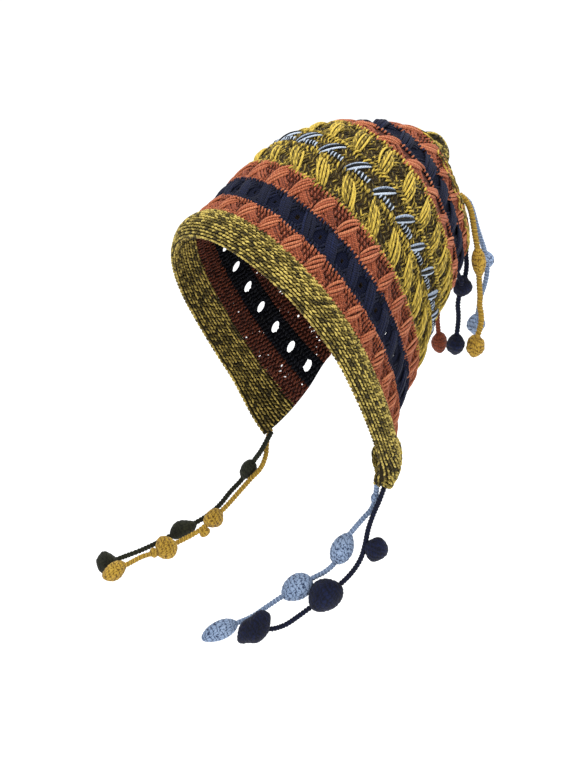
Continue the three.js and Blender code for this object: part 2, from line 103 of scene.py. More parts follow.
bpy.ops.mesh.primitive_plane_add(size=studio["floorSize"], location=(0, 0, studio["floorHeight"]))
floor = bpy.context.object
floor.name = "floor"
bpy.ops.object.transform_apply(location=True)
floorLook = bpy.data.materials.new("paleFloor")
floorLook.use_nodes = True
floorShader = floorLook.node_tree.nodes["Principled BSDF"]
floorShader.inputs["Base Color"].default_value = studio["floorTint"]
floorShader.inputs["Roughness"].default_value = studio["floorRoughness"]
floorShader.inputs["Emission Color"].default_value = (1, 1, 1, 1)
floorShader.inputs["Emission Strength"].default_value = studio["floorGlow"]
floor.data.materials.append(floorLook)
print("camera, lights and floor are in place")


def unit(vectors):
    return vectors / np.linalg.norm(vectors, axis=-1, keepdims=True)


def pointsOf(mesh):
    return np.array([v.co[:] for v in mesh.vertices])


def placePoints(mesh, points):
    mesh.vertices.foreach_set("co", points.astype(np.float32).ravel())


# shape of the shell, the same rings that the solids follow
shell = {
    "length": 0.197, "halfWidth": 0.092, "topHeight": 0.085, "flapDepth": 0.141, "flapGap": 0.069,
    "tilt": 28.75, "wall": 0.003, "seat": 0.66,
}
edgeTable = {  # along, half width, top, belly, foot, gap, as shares of the sizes above
    "rim": (0, 1.0, 0.895, -0.24, 1.0, 1.0),
    "trimMiddle": (0.06, 0.985, 0.935, -0.22, 0.985, 0.945),
    "trimBack": (0.115, 0.95, 0.955, -0.195, 0.93, 0.83),
    "rust1Back": (0.19, 0.935, 0.96, -0.125, 0.855, 0.71),
    "navy1Back": (0.285, 0.915, 0.98, -0.02, 0.78, 0.65),
    "rust2Back": (0.375, 0.87, 0.995, 0.085, 0.74, 0.6),
    "olive1Back": (0.49, 0.815, 1.0, 0.17, 0.705, 0.465),
    "blueBack": (0.58, 0.75, 0.955, 0.21, 0.69, 0.27),
    "olive2Back": (0.71, 0.615, 0.83, 0.195, 0.675, 0.04),
    "rust3Back": (0.775, 0.505, 0.72, 0.14, 0.655, 0),
    "navy2Back": (0.86, 0.375, 0.56, 0.09, 0.61, 0),
    "rust4Back": (0.94, 0.245, 0.38, 0.045, 0.55, 0),
    "crownBack": (1, 0.06, 0.125, 0.015, 0.44, 0),
}
columnSizes = np.array([shell[k] for k in
                        ("length", "halfWidth", "topHeight", "topHeight", "flapDepth", "flapGap")])
edgeSizes = np.array(list(edgeTable.values())) * columnSizes
tilt = math.radians(shell["tilt"])
axisBack = np.array([0, math.cos(tilt), math.sin(tilt)])
axisUp = np.array([0, -math.sin(tilt), math.cos(tilt)])


def columnsAt(along):
    at, rows = edgeSizes[:, 0], edgeSizes[:, 1:]
    if along <= at[0]:
        return rows[0]
    if along >= at[-1]:
        return rows[-1]
    b = int(np.searchsorted(at, along, side="right"))
    a = b - 1
    before = a - 1 if a > 0 else b  # the curve ends flat, so an end row stands in for its neighbour
    after = b + 1 if b < len(at) - 1 else a
    half = (at[b] - at[a]) / 2
    weightBefore = half / (at[a] - at[before])
    weightAfter = half / (at[after] - at[b])
    p = (along - at[a]) / (at[b] - at[a])
    p2, p3 = p * p, p * p * p
    shareBefore = -weightBefore * p3 + 2 * weightBefore * p2 - weightBefore * p
    shareA = (1 + weightBefore) * p3 + (-1.5 - 2 * weightBefore) * p2 + (-0.5 + weightBefore) * p + 1
    shareB = (-1 - weightAfter) * p3 + (1.5 + weightAfter) * p2 + 0.5 * p
    shareAfter = weightAfter * p3 - weightAfter * p2
    return shareBefore * rows[before] + shareA * rows[a] + shareB * rows[b] + shareAfter * rows[after]


def ringLine(along, turns):
    halfWidth, top, belly, foot, gap = columnsAt(along)
    endSine = max(0, gap) / halfWidth
    rise, drop = top - belly, (belly + foot) / math.sqrt(1 - endSine * endSine)
    angles = np.linspace(0, math.pi - math.asin(endSine), 121)

    def spots(angle):
        reach = np.where(np.cos(angle) >= 0, rise, drop)
        return halfWidth * np.sin(angle), belly + reach * np.cos(angle)

    x, up = spots(angles)
    run = np.concatenate([[0], np.cumsum(np.hypot(np.diff(x), np.diff(up)))])
    x, up = spots(np.interp(np.abs(turns) * run[-1], run, angles))
    line = along * axisBack + up[:, None] * axisUp
    line[:, 0] += np.sign(turns) * x
    return line, run[-1]


shellRows, shellColumns = 198, 481
rowAlong = np.linspace(0, shell["length"], shellRows)
columnTurn = np.linspace(-1, 1, shellColumns)
shellPoints = np.zeros((shellRows, shellColumns, 3))
halfRun = np.zeros(shellRows)  # from the top of a ring to its end
for row in range(shellRows):
    shellPoints[row], halfRun[row] = ringLine(rowAlong[row], columnTurn)
shellNormals = unit(np.cross(np.gradient(shellPoints, axis=1), np.gradient(shellPoints, axis=0)))
closedRows = np.array([columnsAt(a)[4] < 1e-4 for a in rowAlong])  # rings with no gap under them
seam = unit(shellNormals[closedRows, 0] + shellNormals[closedRows, -1])
shellNormals[closedRows, 0] = shellNormals[closedRows, -1] = seam
# the inside of the crown, where the hat rests, comes to lie at the origin
seatSteps = shell["seat"] * shell["length"] + np.array([-1, 0, 1]) * shell["length"] / 400
seatBefore, seatPoint, seatAfter = (ringLine(along, np.array([0.0]))[0][0] for along in seatSteps)
seatNormal = np.cross((1, 0, 0), unit(seatAfter - seatBefore))
shellPoints -= seatPoint - seatNormal * shell["wall"] / 2


def gridLookup(grid, row, column):
    row = np.clip(row, 0, grid.shape[0] - 1.001)
    column = np.clip(column, 0, grid.shape[1] - 1.001)
    r, c = row.astype(int), column.astype(int)
    fr, fc = (row - r)[..., None], (column - c)[..., None]
    near = grid[r, c] * (1 - fc) + grid[r, c + 1] * fc
    far = grid[r + 1, c] * (1 - fc) + grid[r + 1, c + 1] * fc
    return near * (1 - fr) + far * fr


# a point and its normal on the shell: along runs from face to crown, turn from -1 to 1 round a ring
def onShell(along, turn, out=0.0, closed=False):
    along, turn = np.broadcast_arrays(np.asarray(along, float), np.asarray(turn, float))
    if closed:
        turn = (turn + 1) % 2 - 1
    row = along / shell["length"] * (shellRows - 1)
    column = (turn + 1) / 2 * (shellColumns - 1)
    normal = unit(gridLookup(shellNormals, row, column))
    return gridLookup(shellPoints, row, column) + normal * np.asarray(out)[..., None], normal


def runAt(along):
    return np.interp(along, rowAlong, halfRun)


def alongOf(edge):
    return edgeTable[edge][0] * shell["length"]


def smooth(x, low, high):
    t = np.clip((x - low) / (high - low), 0, 1)
    return t * t * (3 - 2 * t)


def evenTurns(count, shift=0.0):
    return -1 + (np.arange(count) + 0.5 + shift) * 2 / count


def keepOn(turn, closed):  # strands of an open ring stop short of its two ends
    return turn if closed else np.clip(turn, -0.997, 0.997)


# runs one mesh tool on the whole of the active object
def onWholeMesh(tool, **settings):
    bpy.ops.object.mode_set(mode="EDIT")
    bpy.ops.mesh.select_all(action="SELECT")
    tool(**settings)
    bpy.ops.object.mode_set(mode="OBJECT")


# one length of yarn, modelled once and then laid along every stitch
def modelYarn(sides, steps):
    bpy.ops.object.select_all(action="DESELECT")
    bpy.ops.mesh.primitive_circle_add(vertices=sides, radius=1, fill_type="NGON", rotation=(0, math.pi / 2, 0))
    length = bpy.context.object
    bpy.ops.object.transform_apply(location=False, rotation=True, scale=False)
    bpy.ops.object.mode_set(mode="EDIT")
    bpy.ops.mesh.select_all(action="SELECT")
    for _ in range(steps):
        bpy.ops.mesh.extrude_region_move(TRANSFORM_OT_translate={"value": (1 / steps, 0, 0)})
    bpy.ops.object.mode_set(mode="OBJECT")
    onWholeMesh(bpy.ops.mesh.normals_make_consistent, inside=False)
    points = pointsOf(length.data)
    faces = [list(face.vertices) for face in length.data.polygons]
    bpy.data.objects.remove(length)
    angle = np.arctan2(points[:, 2], points[:, 1]) / (2 * math.pi) % 1
    loopAngle = []
    for face in faces:
        turns = angle[face]
        loopAngle += list(np.where((turns.max() - turns > 0.5) & (len(face) == 4), turns + 1, turns))
    spots = np.linspace(0, 1, steps + 1)
    return {"ring": np.rint(points[:, 0] * steps).astype(int), "angle": angle * 2 * math.pi, "faces": faces,
            "corners": np.concatenate([np.array(face) for face in faces]), "loopAngle": np.array(loopAngle),
            "spots": spots, "arch": np.sin(math.pi * spots)}


def newStore():
    return {"points": [], "faces": [], "uvs": [], "tones": [], "shades": [], "count": 0}


# lays copies of the yarn along centre lines: centres and normals are [copy, ring, xyz]
def layYarn(store, yarn, centres, normals, width, height, tone, shade=1.0):
    copies = centres.shape[0]
    tangent = unit(np.gradient(centres, axis=1))
    side = unit(np.cross(normals, tangent))
    up = np.cross(tangent, side)
    ring, angle = yarn["ring"], yarn["angle"][None, :, None]
    width, height = (np.broadcast_to(v, centres.shape[:2])[:, ring, None] for v in (width, height))
    points = centres[:, ring] + side[:, ring] * np.cos(angle) * width + up[:, ring] * np.sin(angle) * height
    length = np.concatenate([np.zeros((copies, 1)), np.cumsum(
        np.linalg.norm(np.diff(centres, axis=1), axis=2), axis=1)], axis=1) / mm
    loopLength = length[:, ring[yarn["corners"]]]
    shift = (np.arange(copies) * 1.37 % 1)[:, None]  # each copy starts its twist somewhere else
    uvs = np.stack([loopLength, np.broadcast_to(yarn["loopAngle"], loopLength.shape) + shift], axis=2)
    perCopy = points.shape[1]
    for copy in range(copies):
        start = store["count"] + copy * perCopy
        store["faces"] += [[start + v for v in face] for face in yarn["faces"]]
    store["count"] += copies * perCopy
    store["points"].append(points.reshape(-1, 3))
    store["uvs"].append(uvs.reshape(-1, 2))
    for key, values in (("tones", tone), ("shades", shade)):
        store[key].append(np.repeat(np.broadcast_to(values, copies), perCopy))


# tone picks how light the yarn's own colour is, shade is painted shade that darkens what lies on the inside
def paintPoints(mesh, tones, shades):
    for key, values in (("tone", tones), ("shade", shades)):
        layer = mesh.attributes.new(key, "FLOAT", "POINT")
        layer.data.foreach_set("value", np.broadcast_to(values, len(mesh.vertices)).astype(np.float32))


# gives a mesh one UV map named yarn in place of its own
def setYarnUv(mesh, uv=None):
    while mesh.uv_layers:
        mesh.uv_layers.remove(mesh.uv_layers[0])
    layer = mesh.uv_layers.new(name="yarn")
    if uv is not None:
        layer.data.foreach_set("uv", uv.astype(np.float32).ravel())


def meshFrom(store, name, material):
    mesh = bpy.data.meshes.new(name)
    mesh.from_pydata(np.concatenate(store["points"]).tolist(), [], store["faces"])
    setYarnUv(mesh, np.concatenate(store["uvs"]))
    paintPoints(mesh, np.concatenate(store["tones"]), np.concatenate(store["shades"]))
    mesh.polygons.foreach_set("use_smooth", [True] * len(mesh.polygons))
    mesh.materials.append(material)
    piece = bpy.data.objects.new(name, mesh)
    scene.collection.objects.link(piece)
    return piece


# smooth shading, finish and name of the active piece
def finishPiece(piece, name, material):
    bpy.ops.object.shade_smooth()
    piece.data.materials.clear()
    piece.data.materials.append(material)
    piece.name = piece.data.name = name
    return piece


def joinPieces(name, pieces):
    bpy.ops.object.select_all(action="DESELECT")
    for piece in pieces:
        piece.select_set(True)
    bpy.context.view_layer.objects.active = pieces[0]
    bpy.ops.object.join()
    pieces[0].name = name
    pieces[0].data.name = name
    bpy.ops.object.select_all(action="DESELECT")
    return pieces[0]

# every piece is part of the one body and stands for its solid, which is hidden
def settle(piece, node, slot):
    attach(piece, "root")
    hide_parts(node)


def trianglesOf(piece):
    piece.data.calc_loop_triangles()
    return len(piece.data.loop_triangles)


# effects shared by the yarns
def groupNodes(name, inputs, outputs):
    group = bpy.data.node_groups.new(name, "ShaderNodeTree")
    for socketName, value in inputs:
        group.interface.new_socket(name=socketName, in_out="INPUT",
                                   socket_type="NodeSocketFloat").default_value = value
    for socketName in outputs:
        group.interface.new_socket(name=socketName, in_out="OUTPUT", socket_type="NodeSocketFloat")
    return group, group.nodes.new("NodeGroupInput").outputs, group.nodes.new("NodeGroupOutput").inputs


# sets an input to a number or links it to a socket
def plug(tree, value, socket):
    if isinstance(value, (int, float)):
        socket.default_value = value
    else:
        tree.links.new(value, socket)


def mathFor(tree):
    def calc(operation, *values, clamp=False):
        node = tree.nodes.new("ShaderNodeMath")
        node.operation = operation
        node.use_clamp = clamp
        for value, socket in zip(values, node.inputs):
            plug(tree, value, socket)
        return node.outputs[0]
    return calc


# a value round 0.5 made to swing round zero
def swing(calc, value, amount, centre=0.5):
    return calc("MULTIPLY", calc("SUBTRACT", value, centre), amount)


def woolNoise(tree, scale, detail=2.0, roughness=0.5):
    noise = tree.nodes.new("ShaderNodeTexNoise")
    tree.links.new(tree.nodes.new("ShaderNodeTexCoord").outputs["Object"], noise.inputs["Vector"])
    plug(tree, scale, noise.inputs["Scale"])
    plug(tree, detail, noise.inputs["Detail"])
    plug(tree, roughness, noise.inputs["Roughness"])
    return noise.outputs["Fac"]


def yarnSpot(tree):
    uv = tree.nodes.new("ShaderNodeUVMap")
    uv.uv_map = "yarn"
    parts = tree.nodes.new("ShaderNodeSeparateXYZ")
    tree.links.new(uv.outputs[0], parts.inputs[0])
    return parts.outputs[0], parts.outputs[1]


# U runs along the yarn in millimetres, V once round it
def buildTwist():
    tree, given, out = groupNodes("yarnTwist", [("Pitch", 5.0), ("Plies", 2.0), ("Waver", 0.15)],
                                  ["Ridge", "Stripe"])
    calc = mathFor(tree)
    u, v = yarnSpot(tree)
    waver = swing(calc, woolNoise(tree, 260.0), given["Waver"])
    phase = calc("ADD", calc("ADD", v, calc("DIVIDE", u, given["Pitch"])), waver)
    plies = calc("MULTIPLY", calc("MULTIPLY", phase, given["Plies"]), math.pi)
    ridge = calc("ABSOLUTE", calc("SINE", plies))
    plug(tree, calc("POWER", ridge, 0.6), out["Ridge"])
    plug(tree, calc("SINE", calc("MULTIPLY", phase, 2 * math.pi)), out["Stripe"])
    return tree


def buildFibre():
    tree, given, out = groupNodes("woolFibre", [("Scale", 900.0)], ["Fuzz", "Blotch"])
    plug(tree, woolNoise(tree, given["Scale"], 3.0, 0.65), out["Fuzz"])
    plug(tree, woolNoise(tree, 45.0), out["Blotch"])
    return tree


# rows of crochet stitches round a bobble: one stitch across in U, one row in V, each row set over by half a stitch
def buildCrochet():
    tree, given, out = groupNodes("crochetRows", [("Slant", 0.8)], ["Ridge", "GapShade"])
    calc = mathFor(tree)
    u, v = yarnSpot(tree)
    noise = woolNoise(tree, 230.0)
    waver = swing(calc, noise, 2.2)
    rowAt = calc("ADD", v, waver)
    over = calc("MULTIPLY", calc("FLOOR", rowAt), 0.5)
    slant = calc("MULTIPLY", calc("FRACT", rowAt), given["Slant"])
    cell = calc("ADD", calc("ADD", u, waver), calc("ADD", over, slant))
    waves = [calc("ABSOLUTE", calc("SINE", calc("MULTIPLY", value, math.pi))) for value in (rowAt, cell)]
    stitch = calc("MULTIPLY", *waves)
    # painted shade in the gaps between the stitches, broken up by noise
    gapShade = calc("SUBTRACT", 1, calc("MULTIPLY", stitch, 3.4), clamp=True)
    plug(tree, calc("POWER", stitch, 0.4), out["Ridge"])
    plug(tree, calc("MULTIPLY", gapShade, calc("MULTIPLY", noise, 1.7)), out["GapShade"])
    return tree


yarnTwist = buildTwist()
woolFibre = buildFibre()
crochetRows = buildCrochet()


def srgb(r, g, b):
    return tuple(((c / 255 + 0.055) / 1.055) ** 2.4 if c > 10 else c / 255 / 12.92 for c in (r, g, b)) + (1,)


# dark, middle and light are the yarn's own shades, stripe is how far a second ply darkens it,
# and on bobble yarns a further share says how far painted shade darkens the gaps between crochet stitches
yarnLooks = {
    "rustYarn": {"dark": (76, 32, 19), "middle": (168, 85, 52), "light": (220, 140, 98),
                 "stripe": 0.08, "pitch": 2.9, "bump": 0.7, "sheen": 0.1},
    "navyYarn": {"dark": (3, 5, 15), "middle": (13, 19, 46), "light": (28, 40, 84), "gapShade": 0.35,
                 "stripe": 0.06, "pitch": 3.2, "bump": 0.75, "sheen": 0.04},
    "oliveYarn": {"dark": (38, 31, 15), "middle": (130, 110, 40), "light": (220, 190, 78),
                  "stripe": 0.2, "pitch": 7.0, "bump": 0.6, "sheen": 0.08},
    "trimYarn": {"dark": (26, 22, 10), "middle": (124, 107, 42), "light": (224, 200, 104),
                 "stripe": 0.12, "pitch": 4.4, "bump": 0.6, "sheen": 0.08, "blotch": 0.14},
    "blueRowYarn": {"dark": (14, 20, 24), "middle": (122, 137, 160), "light": (202, 214, 230),
                    "stripe": 0.06, "pitch": 4.0, "bump": 0.5, "sheen": 0.05},
    "mustardYarn": {"dark": (96, 68, 20), "middle": (190, 150, 52), "light": (224, 190, 88), "gapShade": 0.5,
                    "stripe": 0.12, "pitch": 3.6, "bump": 0.7, "sheen": 0.1},
    "lightBlueYarn": {"dark": (48, 62, 92), "middle": (142, 164, 198), "light": (184, 202, 228), "gapShade": 0.62,
                      "stripe": 0.14, "pitch": 3.0, "bump": 0.7, "sheen": 0.1},
    "darkOliveYarn": {"dark": (12, 13, 8), "middle": (34, 36, 24), "light": (58, 60, 40), "gapShade": 0.3,
                      "stripe": 0.1, "pitch": 3.4, "bump": 0.6, "sheen": 0.04},
    "rustDarkYarn": {"dark": (58, 24, 13), "middle": (124, 58, 34), "light": (170, 92, 58), "gapShade": 0.4,
                     "stripe": 0.1, "pitch": 3.2, "bump": 0.6, "sheen": 0.08},
}


# the finish that all yarns share, and that of the fabric behind them
# the groove share darkens the grooves between plies and stitches: painted shade
yarnFinish = {"depth": 0.0009, "specular": 0.25, "fuzz": 0.7, "grooveShade": 0.36, "blotch": 0.35}
clothFinish = {"depth": 0.0012, "specular": 0.15, "bump": 0.8, "fuzz": 0.9, "roughness": 0.92}


def groupNode(tree, group):
    node = tree.nodes.new("ShaderNodeGroup")
    node.node_tree = group
    return node


def pointValue(tree, name):
    node = tree.nodes.new("ShaderNodeAttribute")
    node.attribute_name = name
    return node.outputs["Fac"]


# colours a piece by its value, darkens it by its painted shade and raises its surface by its height
def woolMaterial(name, look, build):
    material = bpy.data.materials.new(name)
    material.use_nodes = True
    tree = material.node_tree
    calc = mathFor(tree)
    shader = tree.nodes["Principled BSDF"].inputs
    value, height, rough = build(tree, calc, groupNode(tree, woolFibre).outputs, look)
    ramp = tree.nodes.new("ShaderNodeValToRGB")
    ramp.color_ramp.elements[0].color = srgb(*look["dark"])
    ramp.color_ramp.elements[1].color = srgb(*look["light"])
    if "middle" in look:
        ramp.color_ramp.elements.new(0.5).color = srgb(*look["middle"])
    plug(tree, value, ramp.inputs["Fac"])
    # painted shade: the shade value darkens the colour where it lies inside and warms it a little
    shade = pointValue(tree, "shade")
    warm = tree.nodes.new("ShaderNodeCombineXYZ")  # shaded wool turns a little warmer as it darkens
    for channel, power in enumerate((1.0, 1.3, 1.6)):
        plug(tree, calc("POWER", shade, power), warm.inputs[channel])
    mix = tree.nodes.new("ShaderNodeVectorMath")
    mix.operation = "MULTIPLY"
    plug(tree, ramp.outputs["Color"], mix.inputs[0])
    plug(tree, warm.outputs[0], mix.inputs[1])
    plug(tree, mix.outputs[0], shader["Base Color"])
    bump = tree.nodes.new("ShaderNodeBump")
    bump.inputs["Strength"].default_value = look["bump"]
    bump.inputs["Distance"].default_value = look["depth"]
    plug(tree, height, bump.inputs["Height"])
    plug(tree, bump.outputs["Normal"], shader["Normal"])
    plug(tree, rough, shader["Roughness"])
    shader["Specular IOR Level"].default_value = look["specular"]
    shader["Sheen Weight"].default_value = look["sheen"]
    return material


def yarnValues(tree, calc, fibre, look):
    if look.get("crochet"):
        rows = groupNode(tree, crochetRows)
        # on bobbles this term is painted shade in the gaps between crochet stitches, not a ply stripe
        stripe = calc("MULTIPLY", rows.outputs["GapShade"], -look["gapShade"])
    else:
        rows = groupNode(tree, yarnTwist)
        rows.inputs["Pitch"].default_value = look["pitch"]
        stripe = calc("MULTIPLY", rows.outputs["Stripe"], look["stripe"])
    ridge = rows.outputs["Ridge"]
    # the ridge term is painted shade in the grooves between plies and stitches, the fuzz term the wool's own uneven
    # tone
    uneven = calc("ADD", swing(calc, fibre["Fuzz"], look["fuzz"]), swing(calc, ridge, look["grooveShade"], 0.75))
    value = calc("ADD", calc("ADD", pointValue(tree, "tone"), stripe),
                 calc("ADD", uneven, swing(calc, fibre["Blotch"], look["blotch"])))
    height = calc("ADD", calc("MULTIPLY", ridge, 0.8), calc("MULTIPLY", fibre["Fuzz"], 0.6))
    return value, height, calc("ADD", calc("MULTIPLY", fibre["Fuzz"], 0.2), 0.72, clamp=True)


# slanted legs of stitches 2.8 mm wide in rows 3.4 mm high
def clothValues(tree, calc, fibre, look):
    u, v = yarnSpot(tree)
    slant = calc("ADD", calc("MULTIPLY", calc("PINGPONG", u, 1.4), 0.55), v)
    leg = calc("ABSOLUTE", calc("SINE", calc("MULTIPLY", slant, math.pi / 1.7)))
    gap = calc("ABSOLUTE", calc("SINE", calc("MULTIPLY", u, math.pi / 1.4)))
    relief = calc("MULTIPLY", calc("POWER", leg, 0.6), calc("POWER", gap, 0.35))
    # the colour follows the relief: painted shade between the stitch legs, with the wool's own fuzz
    value = calc("ADD", calc("MULTIPLY", relief, 0.8), swing(calc, fibre["Fuzz"], look["fuzz"]))
    return value, calc("ADD", relief, calc("MULTIPLY", fibre["Fuzz"], 0.4)), look["roughness"]


# the fabric behind the crossed strands, darker than their yarn: painted shade in the gaps between them
clothLooks = {
    "rustCloth": {"dark": (46, 18, 10), "light": (116, 50, 28), "sheen": 0.08},
    "navyCloth": {"dark": (5, 8, 24), "light": (16, 23, 54), "sheen": 0.02},
    "oliveCloth": {"dark": (30, 23, 11), "light": (88, 70, 34), "sheen": 0.05},
    "trimCloth": {"dark": (22, 18, 8), "light": (66, 56, 24), "sheen": 0.04},
}
yarns = {name: woolMaterial(name, {**yarnFinish, **look}, yarnValues) for name, look in yarnLooks.items()}
bobbleYarns = {name: woolMaterial(name.replace("Yarn", "Bobble"), {**yarnFinish, **look, "crochet": True},
                                  yarnValues) for name, look in yarnLooks.items() if "gapShade" in look}
cloths = {name: woolMaterial(name, {**clothFinish, **look}, clothValues) for name, look in clothLooks.items()}
print("yarn materials are ready")

fineYarn = modelYarn(6, 9)
stitchYarn = modelYarn(5, 3)
# painted shade: how far the inside of the bands is darkened
insideShade = 0.42
clothSet = {"cell": 1.6 * mm, "out": 0.3 * mm, "thick": 1.1 * mm, "tone": 0.4,
            "leftHoles": 0.42, "leftFrom": -0.3}  # the eyelets of the left side are pulled nearly shut


# the plain fabric of a band, with its open holes cut out
def layCloth(name, cloth, start, end, out, thick, closed=False, holes=(), holeSize=(0.0, 0.0), stray=0.0):
    middle = (start + end) / 2
    columns = int(round(2 * runAt(middle) / clothSet["cell"]))
    rows = max(4, int(round((end - start) / clothSet["cell"])))
    bpy.ops.object.select_all(action="DESELECT")
    bpy.ops.mesh.primitive_grid_add(x_subdivisions=columns, y_subdivisions=rows, size=2)
    ground = bpy.context.object

    def spread(flat):  # the flat grid as turn and along
        return flat[..., 0], start + (flat[..., 1] + 1) / 2 * (end - start)

    def reachOf(hole, turn, along):  # 1 at the rim of a hole
        slack = np.where(hole < clothSet["leftFrom"], 1.0, clothSet["leftHoles"]) if stray == 0 else 1.0
        return np.hypot((turn - hole) * runAt(along) / (holeSize[1] / 2),
                        (along - middle) / (holeSize[0] / 2)) / slack

    if len(holes):
        bpy.ops.object.mode_set(mode="EDIT")
        bpy.ops.mesh.select_mode(type="FACE")
        bpy.ops.mesh.select_all(action="DESELECT")
        bpy.ops.object.mode_set(mode="OBJECT")
        rng = np.random.default_rng(len(name) + rows)
        for face in ground.data.polygons:
            x, y = spread(np.array(face.center))
            face.select = bool(reachOf(holes, x, y).min() < 1) or (rng.random() < stray and abs(x) < 0.98)
        bpy.ops.object.mode_set(mode="EDIT")
        bpy.ops.mesh.delete(type="FACE")
        bpy.ops.object.mode_set(mode="OBJECT")
    turn, along = spread(pointsOf(ground.data))
    if len(holes) and stray == 0:  # draw the stepped edge of each hole into an oval
        nearest = holes[np.abs(turn[:, None] - holes[None, :]).argmin(axis=1)]
        reach, run = reachOf(nearest, turn, along), runAt(along)
        move = np.where(reach < 1.3, 1 / np.maximum(reach, 0.3), 1)
        turn, along = nearest + (turn - nearest) * run * move / run, middle + (along - middle) * move
    placePoints(ground.data, onShell(along, turn, np.full(len(turn), out))[0])
    corner = np.array([loop.vertex_index for loop in ground.data.loops])
    setYarnUv(ground.data, np.stack([turn[corner] * float(runAt(middle)) / mm, along[corner] / mm], axis=1))
    if closed:
        onWholeMesh(bpy.ops.mesh.remove_doubles, threshold=0.00005)
    wall = ground.modifiers.new("wall", "SOLIDIFY")
    wall.thickness = thick
    wall.offset = -1
    bpy.ops.object.modifier_apply(modifier="wall")
    shades = np.ones(len(ground.data.vertices))
    # the inner face of the fabric gets the painted shade
    shades[len(shades) // 2:] = insideShade
    paintPoints(ground.data, clothSet["tone"], shades)
    return finishPiece(ground, name, cloths[cloth])


# how uneven the strands of a bundle lie, and how far its outer ones sink
handSet = {"spread": 0.08, "sway": 0.35 * mm, "slip": 0.03, "rise": 0.2 * mm, "edgeDrop": 0.6 * mm}


# Crossed strands: in each repeat a leaf of long strands lies over a bundle that runs the other way.
# A bundle's vector and centre are shares of the repeat along the ring and of the band's height.
def layCrosses(store, start, end, crosses, spacing, parts, seed, closed):
    middle = (start + end) / 2
    repeat = np.array([spacing * float(runAt(middle)), end - start])
    rng = np.random.default_rng(seed)
    t, arch = fineYarn["spots"], fineYarn["arch"]
    for part in parts:
        n = part["strands"]
        direction = np.array(part["vector"]) * repeat
        shift = np.array(part["centre"]) * repeat
        across = np.array([direction[1], -direction[0]]) / np.linalg.norm(direction)
        order = ((np.arange(n) - (n - 1) / 2) / max(1, n - 1))[None, :, None]
        spread = part["endWidth"] + (part["midWidth"] - part["endWidth"]) * arch ** 0.8
        jitter = rng.normal(0, 1, (len(crosses), n, 4))
        byWidth, bySway, byRise, bySlip = (jitter[:, :, k:k + 1] for k in range(4))
        offset = order * spread * (1 + handSet["spread"] * byWidth) + handSet["sway"] * bySway * arch
        slide = (t - 0.5) - order * part["stagger"] + handSet["slip"] * bySlip
        x = shift[0] + slide * direction[0] + offset * across[0]
        y = shift[1] + slide * direction[1] + offset * across[1]
        along = np.clip(middle + y, 0, shell["length"])
        turn = keepOn(crosses[:, None, None] + x / np.maximum(runAt(along), 0.02), closed)
        lift = part["low"] + (part["high"] - part["low"]) * arch ** 0.55 + handSet["rise"] * byRise
        lift = lift - handSet["edgeDrop"] * (2 * np.abs(order)) ** 2
        along, turn, lift = (v.reshape(len(crosses) * n, -1) for v in (along, turn, lift))
        place, normal = onShell(along, turn, lift, closed)
        radius = part["radius"] * (0.5 + 0.5 * arch ** 0.5)
        tones = np.tile(np.array(part["tones"]), len(crosses)) + part["uneven"] * jitter[:, :, 0].ravel()
        layYarn(store, fineYarn, place, normal, radius, radius * 0.85, tones)


# how uneven short stitches are
rowHand = {"length": 0.14, "lean": 0.25, "along": 0.25 * mm, "lift": 0.15 * mm, "tone": 0.05}


# a row of short stitches along a band: teeth at its edges, plain stitches and rungs between the leaves
def layRow(store, at, centres, length, lean, radius, lift, tones, seed, closed=False, shade=1.0):
    rng = np.random.default_rng(seed)
    t, arch = stitchYarn["spots"][None, :], stitchYarn["arch"][None, :]
    n = len(centres)
    size = length * (1 + rowHand["length"] * rng.normal(0, 1, (n, 1)))
    x = (t - 0.5) * size * lean * (1 + rowHand["lean"] * rng.normal(0, 1, (n, 1)))
    y = (t - 0.5) * size + rowHand["along"] * rng.normal(0, 1, (n, 1))
    out = lift + (radius if lift > 0 else -radius) * arch + rowHand["lift"] * rng.normal(0, 1, (n, 1))
    along = np.clip(at + y, 0, shell["length"])
    place, normal = onShell(along, keepOn(centres[:, None] + x / float(runAt(at)), closed), out, closed)
    width = radius * (0.45 + 0.55 * arch ** 0.6)
    tones = rng.choice(tones, n) + rowHand["tone"] * rng.normal(0, 1, n)
    layYarn(store, stitchYarn, place, normal, width, width, tones, shade)


def newBundle(strands, radius, midWidth, endWidth, high, vector, tones, stagger=0.0, centre=(0, 0), uneven=0.07):
    return {"strands": strands, "radius": radius * mm, "midWidth": midWidth * mm, "endWidth": endWidth * mm,
            "high": high * mm, "low": 0.2 * mm, "tones": tones, "vector": vector, "stagger": stagger,
            "centre": centre, "uneven": uneven}
